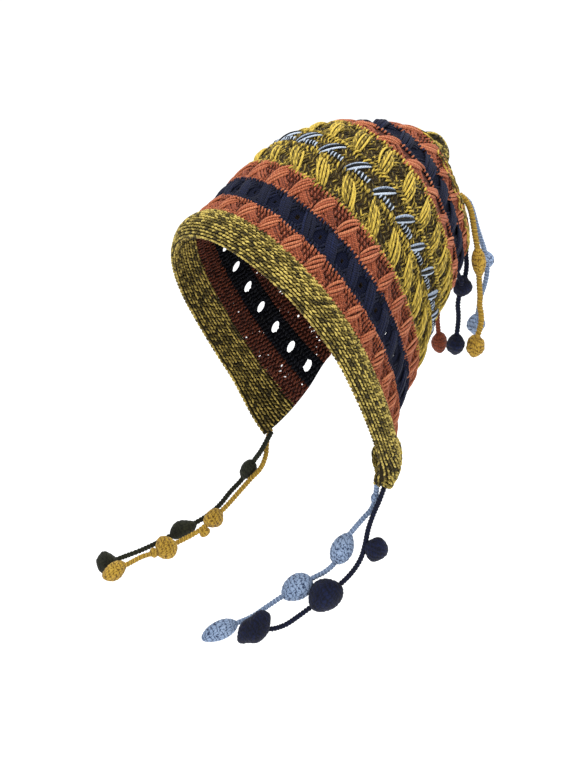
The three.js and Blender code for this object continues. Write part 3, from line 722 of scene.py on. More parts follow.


# what the bands of one colour share: their bundles, the rows of plain stitches that fill the ground
# (place in the band, stitches a repeat, length, lean, radius, tones) and the length and tones of their teeth
# the under bundles and fill rows have lower tones than the upper leaves: painted shade where they lie under and
# between them, over the yarn's own uneven tone
colourSet = {
    "rust": {"stray": 0.05,
             "upper": newBundle(4, 1.08, 7.2, 3.4, 3.1, (0.44, 1.06), (0.74, 0.56, 0.78, 0.58), 0.22),
             "under": newBundle(5, 0.95, 6.4, 8.6, 1.7, (-0.62, 0.56), (0.46, 0.34, 0.44, 0.36, 0.42), 0.1,
                                (0.26, -0.16)),
             "fill": [(-0.34, 7, 3.4, -0.5, 0.9, (0.46, 0.3, 0.38)), (-0.12, 7, 3.4, -0.5, 0.85, (0.24, 0.36)),
                      (0.12, 7, 3.4, -0.5, 0.85, (0.24, 0.36)), (0.34, 7, 3.4, -0.5, 0.9, (0.46, 0.3, 0.38))],
             "toothLength": 3.2, "toothTones": (0.5, 0.7, 0.6)},
    "navy": {"upper": newBundle(5, 1.15, 7.2, 5.6, 2.5, (-0.42, 1.04), (0.5, 0.44, 0.54, 0.44, 0.48), 0.12),
             "under": newBundle(5, 1.15, 6.6, 9.6, 1.5, (0.42, 1.02), (0.38, 0.32, 0.4, 0.32, 0.38)),
             "fill": [(-0.39, 8, 4.6, -0.4, 0.95, (0.4, 0.5, 0.3)), (0.39, 8, 4.6, -0.4, 0.95, (0.4, 0.5, 0.3))],
             "toothLength": 3.2, "toothTones": (0.4, 0.5)},
    "olive": {"upper": newBundle(5, 0.98, 9.0, 5.4, 3.4, (-0.46, 0.84), (0.94, 0.6, 0.98, 0.66, 0.9), 0.38,
                                 uneven=0.17),
              "under": newBundle(6, 0.7, 9.4, 13.2, 1.6, (0.22, 0.9), (0.8, 0.24, 0.66, 0.3, 0.74, 0.4), 0.1,
                                 uneven=0.15),
              "fill": [(-0.4, 8, 5.0, -0.5, 0.75, (0.85, 0.5, 0.2, 0.05)),
                       (-0.2, 7, 5.4, -0.9, 0.7, (0.65, 0.35, 0.1, 0.0)),
                       (0.0, 7, 5.4, 0.5, 0.65, (0.5, 0.22, 0.0)),
                       (0.2, 7, 5.4, -0.7, 0.7, (0.65, 0.35, 0.1, 0.0)),
                       (0.4, 8, 5.0, -0.4, 0.75, (0.85, 0.5, 0.2, 0.05))],
              "toothLength": 4.4, "toothTones": (0.9, 0.35, 0.6)},
}
bandSet = {
    # colour, first cross and spacing in turns of the ring, number of teeth, and what else is its own;
    # pin is the size of a hole in millimetres
    "rust_band_1": ("rust", 0.121, 0.0833, 176, {"pin": (1.9, 1.9)}),
    "navy_band_1": ("navy", 0.0417, 0.0833, 168, {"pin": (8.6, 5.2), "eyelets": 24}),
    "rust_band_2": ("rust", 0.121, 0.0916, 160, {"pin": (1.9, 1.9)}),
    "olive_band_1": ("olive", 0.030, 0.1033, 150, {}),
    "blue_band": ("olive", -0.012, 0.1036, 0, {
        "yarn": "blueRowYarn", "fillYarn": "oliveYarn", "slot": "blue", "rungs": 9, "under": None,
        "upper": newBundle(3, 0.84, 4.4, 1.6, 3.3, (0.37, 1.04), (0.66, -0.3, 1.0))}),
    "olive_band_2": ("olive", 0.113, 0.1040, 140, {"toothTones": (0.95, 0.5, 0.8)}),
    "rust_band_3": ("rust", 0.142, 2 / 17, 120, {"fillRows": 2, "closed": True}),
    "navy_band_2": ("navy", 0.015, 2 / 15, 104, {
        "fillRows": 1, "closed": True,
        "upper": newBundle(6, 1.25, 8.2, 6.6, 3.9, (-0.5, 1.02), (0.46, 0.42, 0.52, 0.42, 0.5, 0.44), 0.2),
        "under": newBundle(5, 1.15, 7.0, 9.6, 1.7, (0.5, 1.0), (0.38, 0.32, 0.4, 0.32, 0.38))}),
    "rust_band_4": ("rust", 0.06, 2 / 14, 84, {"closed": True}),
}
plainBand = {"closed": False, "eyelets": 0, "eyeletBend": 0.04, "pin": None, "stray": 0.0, "rungs": 0,
             "fillRows": None, "fillYarn": None, "fillLift": 0.45 * mm}
toothSet = {"radius": 0.95 * mm, "lift": 1.1 * mm, "lean": 0.5, "fromStart": 0.6 * mm, "fromEnd": 0.3 * mm}
insideSet = {"bands": 4, "rows": 5, "pitch": 3.1 * mm, "length": 3.8 * mm, "lean": 0.3, "radius": 0.85 * mm,
             "depth": -1.0 * mm, "tones": (0.5, 0.4, 0.34), "eyeletGap": (2.6, 4.4, 2.6)}
rungSet = {"first": 1.4, "pitch": 1.45, "aside": -3.7 * mm, "length": 4.6 * mm, "lean": -0.33, "lift": 1.7 * mm}


def crossTurns(first, spacing, closed):
    if closed:
        return (first + np.arange(int(round(2 / spacing))) * spacing + 1) % 2 - 1
    low, high = math.ceil((-0.985 - first) / spacing), math.floor((0.985 - first) / spacing)
    return first + np.arange(low, high + 1) * spacing


# the bands that show from inside are flat there, in plain rows darkened by painted shade
def layInside(store, start, end, holes, eyelets, seed, closed):
    count = int(round(2 * float(runAt((start + end) / 2)) / insideSet["pitch"]))
    for row in range(insideSet["rows"]):
        at = start + (row + 0.5) / insideSet["rows"] * (end - start)
        centres = evenTurns(count, 0.5 * (row % 2) - 0.25)
        if eyelets and 0 < row < 4:
            gap = np.abs(centres[:, None] - holes[None, :]).min(axis=1) * float(runAt(at))
            centres = centres[gap > insideSet["eyeletGap"][row - 1] * mm]
        layRow(store, at, centres, insideSet["length"], insideSet["lean"] * (1 if row % 2 else -1),
               insideSet["radius"], insideSet["depth"], insideSet["tones"], seed + row, closed, insideShade)


for index, (name, (colour, first, spacing, teeth, own)) in enumerate(bandSet.items()):
    band = {"yarn": colour + "Yarn", "slot": colour, **plainBand, **colourSet[colour], **own}
    start, end = (alongOf(edge) for edge in list(edgeTable)[index + 2:index + 4])  # from one ring to the next
    middle, closed = (start + end) / 2, band["closed"]
    crosses = crossTurns(first, spacing, closed)
    holes = crosses + spacing / 2 if band["pin"] else np.array([])
    if band["eyelets"]:  # those of the solid, drawn a little to one side
        holes = evenTurns(band["eyelets"])
        holes = holes - band["eyeletBend"] * np.sin(math.pi * (holes + 1) / 2)
        crosses = (holes[:-1] + holes[1:]) / 2
    ground = layCloth(name + "_ground", colour + "Cloth", start, end, clothSet["out"], clothSet["thick"], closed,
                      holes, tuple(v * mm for v in band["pin"] or (0, 0)), band["stray"])
    store = newStore()
    parts = (band["under"] or band["upper"], band["upper"])
    layCrosses(store, start, end, crosses, spacing, parts, 11 + index, closed)
    if index < insideSet["bands"]:
        layInside(store, start, end, holes, band["eyelets"], 400 + 10 * index, closed)
    fill = newStore() if band["fillYarn"] else store
    for row, (share, perRepeat, length, lean, radius, tones) in enumerate(band["fill"][:band["fillRows"]]):
        layRow(fill, middle + share * (end - start), evenTurns(int(round(2 / spacing * perRepeat))), length * mm,
               lean, radius * mm, band["fillLift"], tones, 200 + 10 * index + row, closed)
    for rung in range(band["rungs"]):  # under each leaf a twisted pair of yarns shows as light and dark
        spots = crosses + (rungSet["first"] + rungSet["pitch"] * rung) * mm / float(runAt(middle))
        radius, tones = ((0.74, (0.95,)), (0.9, (-0.2,)))[rung % 2]
        layRow(store, middle + rungSet["aside"], spots, rungSet["length"], rungSet["lean"], radius * mm,
               rungSet["lift"], tones, 300 + rung)
    for at, lean in ((start + toothSet["fromStart"], 1), (end - toothSet["fromEnd"], -1)):
        if teeth:
            layRow(store, at, evenTurns(teeth), band["toothLength"] * mm, lean * toothSet["lean"],
                   toothSet["radius"], toothSet["lift"], band["toothTones"], 31 + index, closed)
    parts = [meshFrom(store, name + "_strands", yarns[band["yarn"]]), ground]
    if fill is not store:
        parts.append(meshFrom(fill, name + "_fill", yarns[band["fillYarn"]]))
    piece = joinPieces(name + "_knit", parts)
    settle(piece, name, band["slot"])
    print("knitted", name, trianglesOf(piece))


# rolled edging: a thick closed section that follows the face edge, covered in rows of chain stitches
trimSet = {
    "wall": 0.0055, "roll": 0.003, "leftTip": 0.008, "rightTip": 0.002, "curlStart": 0.84, "curlFull": 0.97,
    "forward": 0.006, "forwardStart": 0.78, "forwardStartLeft": 0.9, "edge": 0.53, "inset": 0.0009,
    "sectionSteps": 36, "columns": 340, "tipRound": 0.006,  # only the left tip ends in a round lobe
    # insideShade is the painted shade on the inner side of the trim
    "rowPitch": 0.0023, "pitch": 0.0038, "twist": 0.1, "radius": 0.84 * mm, "insideShade": 0.86,
    "lean": (-0.32, 0.5), "overlap": 1.15, "unevenPlace": 0.05, "unevenLean": 0.3,
    "tones": (0.98, 0.78, 0.56, 0.38, 0.18), "toneShares": (0.24, 0.22, 0.24, 0.17, 0.13),
}


# t runs from the face edge to the first band, side is 1 on the outside and -1 on the inside
def trimPoint(t, turn, side):
    curl = (trimSet["leftTip"] * smooth(turn, trimSet["curlStart"], trimSet["curlFull"])
            + trimSet["rightTip"] * smooth(-turn, trimSet["curlStart"], trimSet["curlFull"]))
    rounding = np.sqrt(np.maximum(0, 1 - (1 - trimSet["edge"] ** 2) * (2 * t - 1) ** 2))
    half = rounding * (trimSet["wall"] + curl) / 2 - trimSet["inset"]
    out = trimSet["roll"] * np.sin(math.pi * t) - curl / 4 + side * half
    place, _ = onShell(t * alongOf("trimBack"), turn, out)
    startAt = np.where(turn > 0, trimSet["forwardStartLeft"], trimSet["forwardStart"])
    share = smooth(np.abs(turn), startAt, 1) * (1 - t)
    return place - trimSet["forward"] * share[..., None] * axisBack


sectionSteps, trimColumns = trimSet["sectionSteps"], trimSet["columns"]
angles = np.arange(sectionSteps) / sectionSteps * 2 * math.pi
sectionT = np.clip(0.5 - 0.5 * np.cos(angles), 0.01, 0.99)
sectionSide = np.sign(np.sin(angles)) * np.minimum(1, np.abs(np.sin(angles)) * 2.2) ** 0.5
trimTurn = np.linspace(-1, 1, trimColumns)
trimGrid = trimPoint(sectionT[None, :], trimTurn[:, None], sectionSide[None, :])  # [column, section, xyz]
trimLength = 2 * float(runAt(alongOf("trimMiddle")))
fromTip = (1 - np.abs(trimTurn)) * trimLength / 2 / trimSet["tipRound"]
draw = np.sqrt(np.clip(1 - (1 - np.clip(fromTip, 0, 1)) ** 2, 0.01, 1))
draw = np.where(trimTurn > 0, draw, 1.0)[:, None, None]
trimMiddle = trimGrid.mean(axis=1, keepdims=True)
trimGrid = trimMiddle + (trimGrid - trimMiddle) * draw
trimNormals = unit(np.cross(np.gradient(trimGrid, axis=0),
                            np.roll(trimGrid, -1, axis=1) - np.roll(trimGrid, 1, axis=1)))
gridWide, normalWide = (np.concatenate([grid, grid[:, :1]], axis=1) for grid in (trimGrid, trimNormals))

bpy.ops.object.select_all(action="DESELECT")
bpy.ops.mesh.primitive_cylinder_add(vertices=sectionSteps, radius=1, depth=2, end_fill_type="NGON")
trim = bpy.context.object
bpy.ops.object.mode_set(mode="EDIT")
bpy.ops.mesh.select_all(action="DESELECT")
bpy.ops.object.mode_set(mode="OBJECT")
for edge in trim.data.edges:
    a, b = (trim.data.vertices[v].co for v in edge.vertices)
    edge.select = abs(a.z - b.z) > 1
bpy.ops.object.mode_set(mode="EDIT")
bpy.ops.mesh.subdivide_edgering(number_cuts=trimColumns - 2, interpolation="LINEAR")
bpy.ops.object.mode_set(mode="OBJECT")
co = pointsOf(trim.data)
column = np.rint((co[:, 2] + 1) / 2 * (trimColumns - 1)).astype(int)
spot = np.rint(np.arctan2(co[:, 1], co[:, 0]) / (2 * math.pi) * sectionSteps).astype(int) % sectionSteps
placePoints(trim.data, trimGrid[column, spot])
onWholeMesh(bpy.ops.mesh.normals_make_consistent, inside=False)
corner = np.array([loop.vertex_index for loop in trim.data.loops])
setYarnUv(trim.data, np.stack([trimTurn[column[corner]] * 270, spot[corner] * 1.6], axis=1))
# the inner side of the trim ground is darkened as painted shade
paintPoints(trim.data, 0.3, np.where((sectionSide[spot] < 0), trimSet["insideShade"], 1.0))
finishPiece(trim, "front_trim_ground", cloths["trimCloth"])

t, arch = stitchYarn["spots"][None, :], stitchYarn["arch"]
trimWidth = trimSet["radius"] * (0.35 + 0.65 * arch ** 0.7)
rng = np.random.default_rng(5)
store = newStore()


def layTrimStitches(place, normal, shade=1.0):
    normal = unit(normal)
    place = place + normal * ((0.1 + 0.9 * arch) * mm)[None, :, None]
    tones = rng.choice(trimSet["tones"], len(place), p=trimSet["toneShares"])
    layYarn(store, stitchYarn, place, normal, trimWidth, trimWidth, tones, shade)


# rows of stitches by their place round the section, with more on the wide faces
faceRun = sum(np.linalg.norm(np.diff(gridWide[column], axis=0), axis=1)
              for column in (trimColumns // 2, trimColumns - 14)) / 2
sectionRun = np.concatenate([[0], np.cumsum(faceRun)])
rowCount = int(round(sectionRun[-1] / trimSet["rowPitch"]))
stitches = int(trimLength / trimSet["pitch"])
for row in range(rowCount):
    spotAt = np.interp((row + 0.5) / rowCount * sectionRun[-1], sectionRun, np.arange(sectionSteps + 1))
    centre = (np.arange(stitches) + 0.5 * (row % 2) + 0.25) / stitches
    centre = centre[centre < 0.997]
    centre = centre + rng.normal(0, trimSet["unevenPlace"], len(centre)) / stitches
    lean = trimSet["lean"][row % 2] * (1 + trimSet["unevenLean"] * rng.normal(0, 1, (len(centre), 1)))
    u = np.clip(centre[:, None] + (t - 0.5) * trimSet["overlap"] / stitches, 0.001, 0.999)
    v = spotAt + (t - 0.5) * lean * 1.1
    v = (v + trimSet["twist"] * sectionSteps * 0.5 * smooth(2 * u - 1, 0.86, 1.0)) % sectionSteps
    u = u * (trimColumns - 1)
    # stitches on the inner side get the same painted shade
    inner = sectionSide[int(spotAt) % sectionSteps] < 0
    layTrimStitches(gridLookup(gridWide, u, v), gridLookup(normalWide, u, v),
                    trimSet["insideShade"] if inner else 1.0)


# a soft lump, with ribs from end to end
def modelLump(name, centre, size, axes, ribs, material):
    bpy.ops.object.select_all(action="DESELECT")
    bpy.ops.mesh.primitive_uv_sphere_add(segments=32, ring_count=20, radius=0.5)
    lump = bpy.context.object
    co = pointsOf(lump.data)
    lobes = 1 + ribs * np.cos(7 * np.arctan2(co[:, 1], co[:, 0]))[:, None]
    placePoints(lump.data, (co * lobes * size) @ axes + centre)
    setYarnUv(lump.data)
    paintPoints(lump.data, 0.3, 1.0)
    return finishPiece(lump, name, material)


# the left tip is folded over into two soft lobes, stitched from end to end
lobeSet = {
    # centre, width, thickness and length in millimetres, direction from top to foot, twist of the rows
    "foldBack": {"centre": (67.8, -5.4, -232.6), "size": (15.5, 12, 37), "along": (0.04, -0.12, -0.98),
                 "twist": 0.5},
    "foldFront": {"centre": (69.2, -13.0, -235.6), "size": (10.5, 9, 31), "along": (0.4, 0.1, -0.9),
                  "twist": -0.9},
}
lobeFace = (0.733, -0.578, 0.358)  # the wide side of the lobes faces this way
tipLobes = []
for name, lobe in lobeSet.items():
    size, centre = np.array(lobe["size"]) * mm, np.array(lobe["centre"]) * mm
    alongLobe = unit(np.array(lobe["along"]))
    sideLobe = unit(np.cross(alongLobe, lobeFace))
    axes = np.stack([sideLobe, np.cross(alongLobe, sideLobe), alongLobe])
    tipLobes.append(modelLump("front_trim_" + name, centre, size, axes, 0.0, cloths["trimCloth"]))
    ribs = int(round(size[:2].sum() * 1.57 / trimSet["rowPitch"]))
    perRib = int(round(size[2] * 1.15 / trimSet["pitch"]))
    rib, stitch = (v.ravel() for v in np.meshgrid(np.arange(ribs), np.arange(perRib)))
    down = (stitch + 0.25 + 0.5 * (rib % 2)) / perRib * math.pi
    polar = np.clip(down[:, None] + (t - 0.5) * trimSet["overlap"] * math.pi / perRib, 0.02, math.pi - 0.02)
    around = (rib * 2 * math.pi / ribs + lobe["twist"] * (down - math.pi / 2))[:, None]
    around = around + (t - 0.5) * np.where(rib % 2, 0.2, -0.12)[:, None]
    ball = np.stack([np.sin(polar) * np.cos(around), np.sin(polar) * np.sin(around), np.cos(polar)], axis=2)
    layTrimStitches((ball * size / 2) @ axes + centre, (ball / size) @ axes)
stitchedTrim = meshFrom(store, "front_trim_stitches", yarns["trimYarn"])
trimKnit = joinPieces("front_trim_knit", [stitchedTrim, trim] + tipLobes)
settle(trimKnit, "front_trim", "trim")
print("knitted the trim", trianglesOf(trimKnit), "rows", rowCount)


# gathered end of the crown, shut at the back
crownSet = {
    "out": 0.6 * mm, "thick": 2.4 * mm,
    "strands": 54, "foot": 1.5 * mm, "strandSize": (0.95 * mm, 0.8 * mm), "tones": (0.9, 0.7, 0.5, 0.2),
    "waves": 40, "wanderSize": (0.75 * mm, 0.7 * mm), "wanderTones": (0.95, 0.7, 0.45, 0.2), "bunGap": 0.24,
    "wanderLines": ((0.8, 2.5), (3.0, 2.6), (-4.2, 3.3), (-7.4, 3.5)),  # place and height in millimetres
    "lid": 26, "lidSize": (1.7 * mm, 1.2 * mm), "lidRise": 1.2 * mm, "lidDrop": 0.6 * mm, "lidTones": (0.7, 0.5, 0.3),
}
crownStart, crownEnd = alongOf("rust4Back"), shell["length"]
crownGround = layCloth("crown_end_ground", "oliveCloth", crownStart, crownEnd, crownSet["out"],
                       crownSet["thick"], True)
store = newStore()
rng = np.random.default_rng(71)
t, arch, count = fineYarn["spots"][None, :], fineYarn["arch"][None, :], crownSet["strands"]
foot = crownSet["foot"]
along = crownStart - foot + (crownEnd - crownStart + foot) * t * np.ones((count, 1))
turn = evenTurns(count)[:, None] + 0.03 * arch * rng.choice((-1, 1), (count, 1))
lift = (0.6 + 1.9 * arch + 0.4 * rng.normal(0, 1, (count, 1))) * mm
place, normal = onShell(along, turn, lift, True)
layYarn(store, fineYarn, place, normal, *crownSet["strandSize"], rng.choice(crownSet["tones"], count))
# loose bright strands that wander along the gathered edge, laid as short lengths
waves = crownSet["waves"]
for line, (at, high) in enumerate(crownSet["wanderLines"]):
    middle = evenTurns(waves, 0.5 * (line % 2) - 0.5)
    if at < 0:  # those over the last rust band leave the bun free
        middle = middle[np.abs(middle) > crownSet["bunGap"]]
    turn = middle[:, None] + (t - 0.5) * 2.3 / waves
    wander = np.sin(turn * math.pi * 17 + line * 1.9) * 1.5 + np.sin(turn * math.pi * 29 + line) * 0.7
    rise = (high + 0.4 * np.sin(turn * math.pi * 23 + line * 2.6)) * mm
    place, normal = onShell(crownStart + (at + wander) * mm, turn, rise, True)
    layYarn(store, fineYarn, place, normal, *crownSet["wanderSize"],
            rng.choice(crownSet["wanderTones"], len(middle)))
# straight strands across the flat end, between its two long sides
lid = crownSet["lid"]
left, right = (onShell(np.full(lid, crownEnd), way * (np.arange(lid) + 0.5) / lid, np.zeros(lid), True)[0]
               for way in (1, -1))
cross = right[:, None, :] * (1 - t[..., None]) + left[:, None, :] * t[..., None]
cross = cross + axisBack * (crownSet["lidRise"] * arch[..., None] - crownSet["lidDrop"])
layYarn(store, fineYarn, cross, np.broadcast_to(axisBack, cross.shape), *crownSet["lidSize"],
        rng.choice(crownSet["lidTones"], lid))
crownKnit = joinPieces("crown_end_knit", [meshFrom(store, "crown_end_strands", yarns["oliveYarn"]), crownGround])
settle(crownKnit, "crown_end", "olive")
print("gathered the crown end")


# the bun: a scrunched lump wound with loose strands
bunSet = {"size": (0.020, 0.0165, 0.029), "shift": (0.0002, -0.0055, 0.0012), "ribs": 0.1, "strands": 34,
          "seed": 19, "sweep": 130, "wound": 0.53, "strandSize": (1.2 * mm, 1.0 * mm),
          "tones": (0.8, 0.25, 0.1, 0.0, -0.05)}
bunSize, n = np.array(bunSet["size"]), bunSet["strands"]
bunCentre = np.mean([corner[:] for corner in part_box("crown_knot")], axis=0) + bunSet["shift"]
bunAxes = np.stack([np.array([1, 0, 0]), axisBack, axisUp])
bun = modelLump("crown_knot_lump", bunCentre, bunSize, bunAxes, bunSet["ribs"], cloths["trimCloth"])
rng = np.random.default_rng(bunSet["seed"])
store = newStore()
axis = unit(rng.normal(0, 1, (n, 3)))
first = unit(np.cross(axis, rng.normal(0, 1, (n, 3))))
second = np.cross(axis, first)
sweep = ((t - 0.5) * math.radians(bunSet["sweep"]))[..., None]
ball = (first[:, None, :] * np.cos(sweep) + second[:, None, :] * np.sin(sweep)) * bunSize * bunSet["wound"]
place = ball @ bunAxes + bunCentre
strandWidth, strandHeight = bunSet["strandSize"]
layYarn(store, fineYarn, place, unit(place - bunCentre), strandWidth * (0.5 + 0.5 * arch), strandHeight,
        rng.choice(bunSet["tones"], n))
bunPiece = joinPieces("crown_knot_bun", [meshFrom(store, "crown_knot_strands", yarns["trimYarn"]), bun])
settle(bunPiece, "crown_knot", "olive")
print("tied the bun")


# cords and their bobbles, on the same routes as the solids, in millimetres
cordSet = {
    "near_cord_blue": {
        "yarn": "lightBlueYarn", "slot": "light_blue",
        "route": [(64, -14, -249), (60, -12, -264), (58, -14, -273), (55, -19, -280), (52, -24, -287),
                  (49, -28, -294), (46, -32, -305), (43, -36, -316), (39, -42, -323), (34, -50, -328),
                  (28, -60, -335), (22, -70, -342), (17, -80, -349), (12, -90, -356), (6, -101, -361),
                  (0, -112, -366)],
        "bobbles": [("leaf_1", 1, 9, 6.5), ("bobble_1", 6, 24, 17),
                    ("bobble_2", 10, 24, 20), ("bobble_3", 15, 27, 15)],
    },
    "near_cord_navy": {
        "yarn": "navyYarn", "slot": "navy",
        "route": [(68, -10, -252), (66, -13, -263), (64, -17, -274), (62, -20, -286), (61, -22, -298),
                  (60, -25, -309), (57, -31, -320), (53, -39, -329), (48, -48, -337), (43, -57, -345),
                  (39, -67, -352), (35, -77, -358), (31, -86, -360), (28, -92, -359), (25, -98, -358)],
        "bobbles": [("bobble_1", 4, 18, 17, 7, 5, -3), ("bobble_2", 8, 26, 24),
                    ("bobble_3", 14, 28, 20)],
        "aim": {"bobble_3": (0.24, 0.71, 0.66)},
    },
    "far_cord_olive": {
        "yarn": "darkOliveYarn", "slot": "dark_olive",
        "route": [(-67, -10, -252), (-68, -15, -260), (-70, -19, -268), (-75, -21, -276), (-79, -24, -285),
                  (-83, -28, -294), (-86, -37, -303), (-87, -47, -312), (-90, -56, -319), (-93, -66, -324),
                  (-96, -77, -328), (-99, -88, -332), (-102, -99, -336), (-106, -111, -340),
                  (-110, -124, -343), (-114, -137, -346)],
        "bobbles": [("bobble_1", 4, 16, 13), ("bobble_2", 10, 21, 14),
                    ("bobble_3", 15, 15, 18)],
    },
    "far_cord_mustard": {
        "yarn": "mustardYarn", "slot": "mustard",
        "route": [(-72, -7, -252), (-73, -10, -262), (-71, -13, -273), (-70, -19, -282), (-72, -28, -290),
                  (-75, -39, -301), (-77, -49, -310), (-79, -59, -317), (-81, -69, -324), (-83, -78, -328),
                  (-85, -88, -331), (-87, -99, -334), (-89, -109, -336), (-91, -119, -337),
                  (-94, -130, -341), (-97, -141, -345)],
        "bobbles": [("bobble_1", 7, 16, 15), ("picot_1", 8, 8, 8, 1, 2, -3),
                    ("bobble_2", 11, 15, 19), ("picot_2", 12, 7, 8),
                    ("bobble_3", 15, 19, 14)],
    },
    "crown_cord_navy": {
        "yarn": "navyYarn", "slot": "navy",
        "route": [(0, 120, -76), (0, 124, -83), (1, 126, -91), (1, 126, -99), (2, 127, -108), (2, 127, -117),
                  (2, 128, -125), (2, 127, -134), (2, 124, -142), (2, 121, -150), (2, 120, -157),
                  (2, 121, -164), (2, 121, -171), (2, 120, -180), (2, 119, -189)],
        "bobbles": [("bobble_1", 8, 15, 15), ("bobble_2", 14, 15, 15)],
    },
    "crown_cord_mustard": {
        "yarn": "mustardYarn", "slot": "mustard", "full": 1.15,
        "route": [(5, 115, -66), (7, 120, -71), (8, 124, -78), (8, 127, -87), (9, 129, -99), (10, 131, -110),
                  (11, 132, -121), (12, 132, -131), (13, 132, -141), (14, 132, -149), (14, 132, -156),
                  (15, 133, -164), (15, 133, -172), (14, 131, -181), (14, 129, -189)],
        "bobbles": [("bobble_1", 6, 21, 12), ("bobble_2", 14, 16, 15)],
    },
    "crown_cord_blue": {
        "yarn": "lightBlueYarn", "slot": "light_blue",
        "route": [(-3, 117, -69), (-4, 123, -70), (-5, 129, -73), (-5, 135, -78), (-5, 139, -85),
                  (-5, 142, -93), (-5, 145, -101), (-5, 149, -110), (-6, 154, -120), (-6, 157, -129),
                  (-6, 158, -139), (-6, 156, -149), (-7, 153, -159), (-7, 151, -170), (-7, 149, -181)],
        "bobbles": [("bobble_1", 9, 13, 12), ("bobble_2", 14, 15, 15)],
    },
    "crown_cord_rust": {
        "yarn": "rustDarkYarn", "slot": "rust",
        "route": [(-3, 120, -82), (-5, 125, -87), (-7, 127, -95), (-9, 127, -103), (-11, 126, -111),
                  (-13, 125, -119), (-15, 124, -127), (-17, 123, -136), (-19, 123, -145), (-21, 122, -154),
                  (-22, 122, -164), (-22, 121, -174), (-22, 122, -182), (-22, 123, -189), (-22, 124, -195)],
        "bobbles": [("bobble_1", 14, 16, 13)],
    },
    "crown_cord_navy_short": {
        "yarn": "navyYarn", "slot": "navy",
        "route": [(2, 114, -125), (3, 115, -127), (4, 116, -129), (5, 117, -131), (5, 118, -133),
                  (6, 119, -135), (6, 119, -137), (5, 120, -139)],
        "bobbles": [],
    },
}
cordDiameter = 3.8 * mm
crochetSet = {"step": 0.9 * mm, "sides": 12, "turnLength": 5.2 * mm, "relief": 0.2, "drawnIn": 0.7}


# centripetal curve through the route, at even steps
def curveThrough(route, step):
    points = np.array(route, float) * mm
    ends = [2 * points[0] - points[1], 2 * points[-1] - points[-2]]
    padded = np.vstack([ends[0], points, ends[1]])
    line = []
    for i in range(1, len(padded) - 2):
        p0, p1, p2, p3 = padded[i - 1:i + 3]
        d0, d1, d2 = (max(1e-9, np.linalg.norm(b - a)) ** 0.5 for a, b in ((p0, p1), (p1, p2), (p2, p3)))
        t1 = ((p1 - p0) / d0 - (p2 - p0) / (d0 + d1) + (p2 - p1) / d1) * d1
        t2 = ((p2 - p1) / d1 - (p3 - p1) / (d1 + d2) + (p3 - p2) / d2) * d1
        for s in np.linspace(0, 1, 12, endpoint=False):
            s2, s3 = s * s, s * s * s
            line.append((2 * s3 - 3 * s2 + 1) * p1 + (s3 - 2 * s2 + s) * t1
                        + (-2 * s3 + 3 * s2) * p2 + (s3 - s2) * t2)
    line.append(points[-1])
    line = np.array(line)
    run = np.concatenate([[0], np.cumsum(np.linalg.norm(np.diff(line, axis=0), axis=1))])
    steps = max(6, int(math.ceil(run[-1] / step)))
    at = np.linspace(0, run[-1], steps + 1)
    return np.stack([np.interp(at, run, line[:, k]) for k in range(3)], axis=1), run[-1]


# a crocheted cord: one closed tube whose surface is drawn into a row of slanting stitches
def modelCord(name, cord):
    path, length = curveThrough(cord["route"], crochetSet["step"])
    sides = crochetSet["sides"]
    tangent = unit(np.gradient(path, axis=0))
    side = unit(np.cross(tangent, (0.3, 0.9, 0.2)))
    up = np.cross(tangent, side)
    run = np.linspace(0, length, len(path))
    angle = np.arange(sides)[None, :] / sides * 2 * math.pi
    ridge = np.cos(2 * (angle + 2 * math.pi * run[:, None] / crochetSet["turnLength"]))
    radius = cordDiameter / 2 * cord.get("full", 1.0) * (1.0 + crochetSet["relief"] * ridge)
    radius[[0, -1]] *= crochetSet["drawnIn"]
    points = path[:, None, :] + side[:, None, :] * (np.cos(angle) * radius)[..., None] \
        + up[:, None, :] * (np.sin(angle) * radius)[..., None]
    faces, uvs = [], []
    for i in range(len(path) - 1):
        u0, u1 = run[i] / mm, run[i + 1] / mm
        for j in range(sides):
            k = (j + 1) % sides
            faces.append([i * sides + j, i * sides + k, (i + 1) * sides + k, (i + 1) * sides + j])
            uvs += [(u0, j / sides), (u0, (j + 1) / sides), (u1, (j + 1) / sides), (u1, j / sides)]
    faces.append(list(range(sides))[::-1])
    faces.append([(len(path) - 1) * sides + j for j in range(sides)])
    uvs += [(0, j / sides) for j in range(sides)][::-1] + [(run[-1] / mm, j / sides) for j in range(sides)]
    # the tone follows the ridges: painted shade in the grooves of the crochet
    store = {"points": [points.reshape(-1, 3)], "faces": faces, "uvs": [np.array(uvs)],
             "tones": [(0.42 + 0.2 * ridge).ravel()], "shades": [np.ones(len(path) * sides)]}
    return meshFrom(store, name + "_crochet", yarns[cord["yarn"]]), path, length


# stitch sizes in millimetres, the rest as shares of the ball
bobbleSet = {"row": 2.3, "stitch": 2.8, "relief": 0.05, "lumps": 0.09, "bend": 0.1, "neck": 0.16}


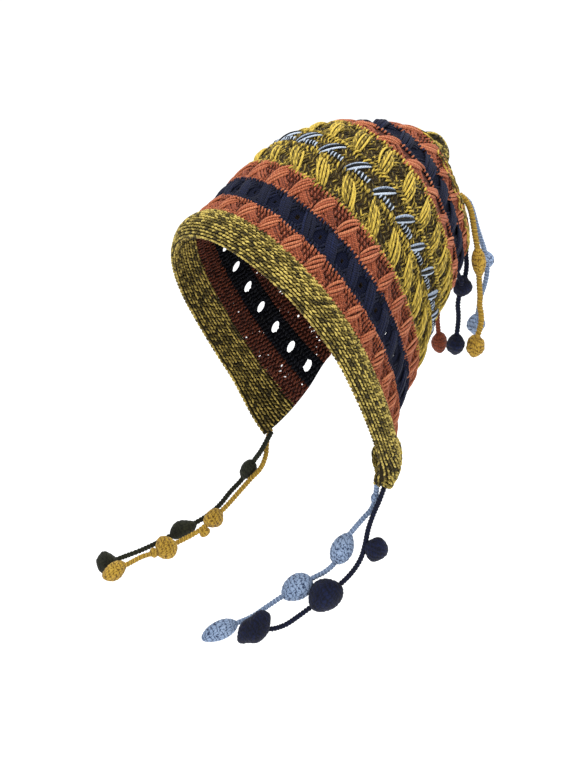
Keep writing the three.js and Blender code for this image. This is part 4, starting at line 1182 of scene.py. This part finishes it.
# a crocheted ball, drawn in at both ends where the cord runs through it
def modelBobble(name, cord, at, length, width, aside, aim=None):
    route = np.array(cord["route"], float)
    after = route[min(at + 1, len(route) - 1)]
    along = unit(after - route[at - 1] if aim is None else np.array(aim))
    centre = (route[at] + np.array(aside)) * mm
    side = unit(np.cross(along, (0.2, 0.3, 0.93)))
    up = np.cross(side, along)
    bpy.ops.object.select_all(action="DESELECT")
    bpy.ops.mesh.primitive_uv_sphere_add(segments=36, ring_count=26, radius=1)
    ball = bpy.context.object
    co = pointsOf(ball.data)
    polar = np.arccos(np.clip(co[:, 2], -1, 1))
    angle = np.arctan2(co[:, 1], co[:, 0])
    rows = max(4, round(length / bobbleSet["row"]))
    around = max(6, round(width * 3.1 / bobbleSet["stitch"]))
    wave = np.abs(np.sin(math.pi * (polar / math.pi * rows + angle / (2 * math.pi)))) ** 0.7
    rng = np.random.default_rng(int(length * 10 + width * 7 + at))
    lump = sum(weight * np.sin(co @ rng.normal(0, 2.2, (3, 1)) + rng.uniform(0, 6)) for weight in (0.5, 0.3, 0.2))
    lump = lump[:, 0] - lump.mean()
    relief = bobbleSet["relief"]
    radius = (1 - relief + relief * wave * np.sin(polar) ** 0.5) * (1 + bobbleSet["lumps"] * lump)
    bend = bobbleSet["bend"] * width * (co[:, 2] ** 2 - 0.4) * rng.choice((-1, 1))
    neck = 1 + bobbleSet["neck"] * np.abs(co[:, 2]) ** 3  # drawn out a little where the cord runs in
    shaped = np.stack([co[:, 0] * radius * width / 2 + bend, co[:, 1] * radius * width / 2,
                       co[:, 2] * radius * neck * length / 2], axis=1) * mm
    placePoints(ball.data, centre + shaped[:, :1] * side + shaped[:, 1:2] * up + shaped[:, 2:] * along)
    uv = []
    for face in ball.data.polygons:
        turns = [angle[v] / (2 * math.pi) % 1 for v in face.vertices]
        poles = [abs(co[v, 2]) > 0.9999 for v in face.vertices]
        most = max(turn for turn, pole in zip(turns, poles) if not pole)
        for v, turn, pole in zip(face.vertices, turns, poles):
            turn = most if pole else turn + (1 if most - turn > 0.5 else 0)
            uv.append((turn * around, polar[v] / math.pi * rows + turn))
    setYarnUv(ball.data, np.array(uv))
    paintPoints(ball.data, 0.5 + 0.1 * lump, 1.0)
    onWholeMesh(bpy.ops.mesh.normals_make_consistent, inside=False)
    return finishPiece(ball, name, bobbleYarns[cord["yarn"]])


for name, cord in reversed(cordSet.items()):
    tube, path, length = modelCord(name, cord)
    settle(tube, name, cord["slot"])
    for kind, at, ballLength, width, *aside in cord["bobbles"]:
        node = name + "_" + kind
        ball = modelBobble(node + "_crochet", cord, at, ballLength, width, aside or (0, 0, 0),
                           cord.get("aim", {}).get(kind))
        settle(ball, node, cord["slot"])
    if name == "crown_cord_navy_short":  # too short for a cord of its own, it is left out of the print
        continue
    tuple(path[0])
    [tuple(p) for p in path]
    print("crocheted", name, round(length, 4))

print("triangles", sum(trianglesOf(piece) for piece in scene.objects if piece.type == "MESH"))
print("all pieces are made")
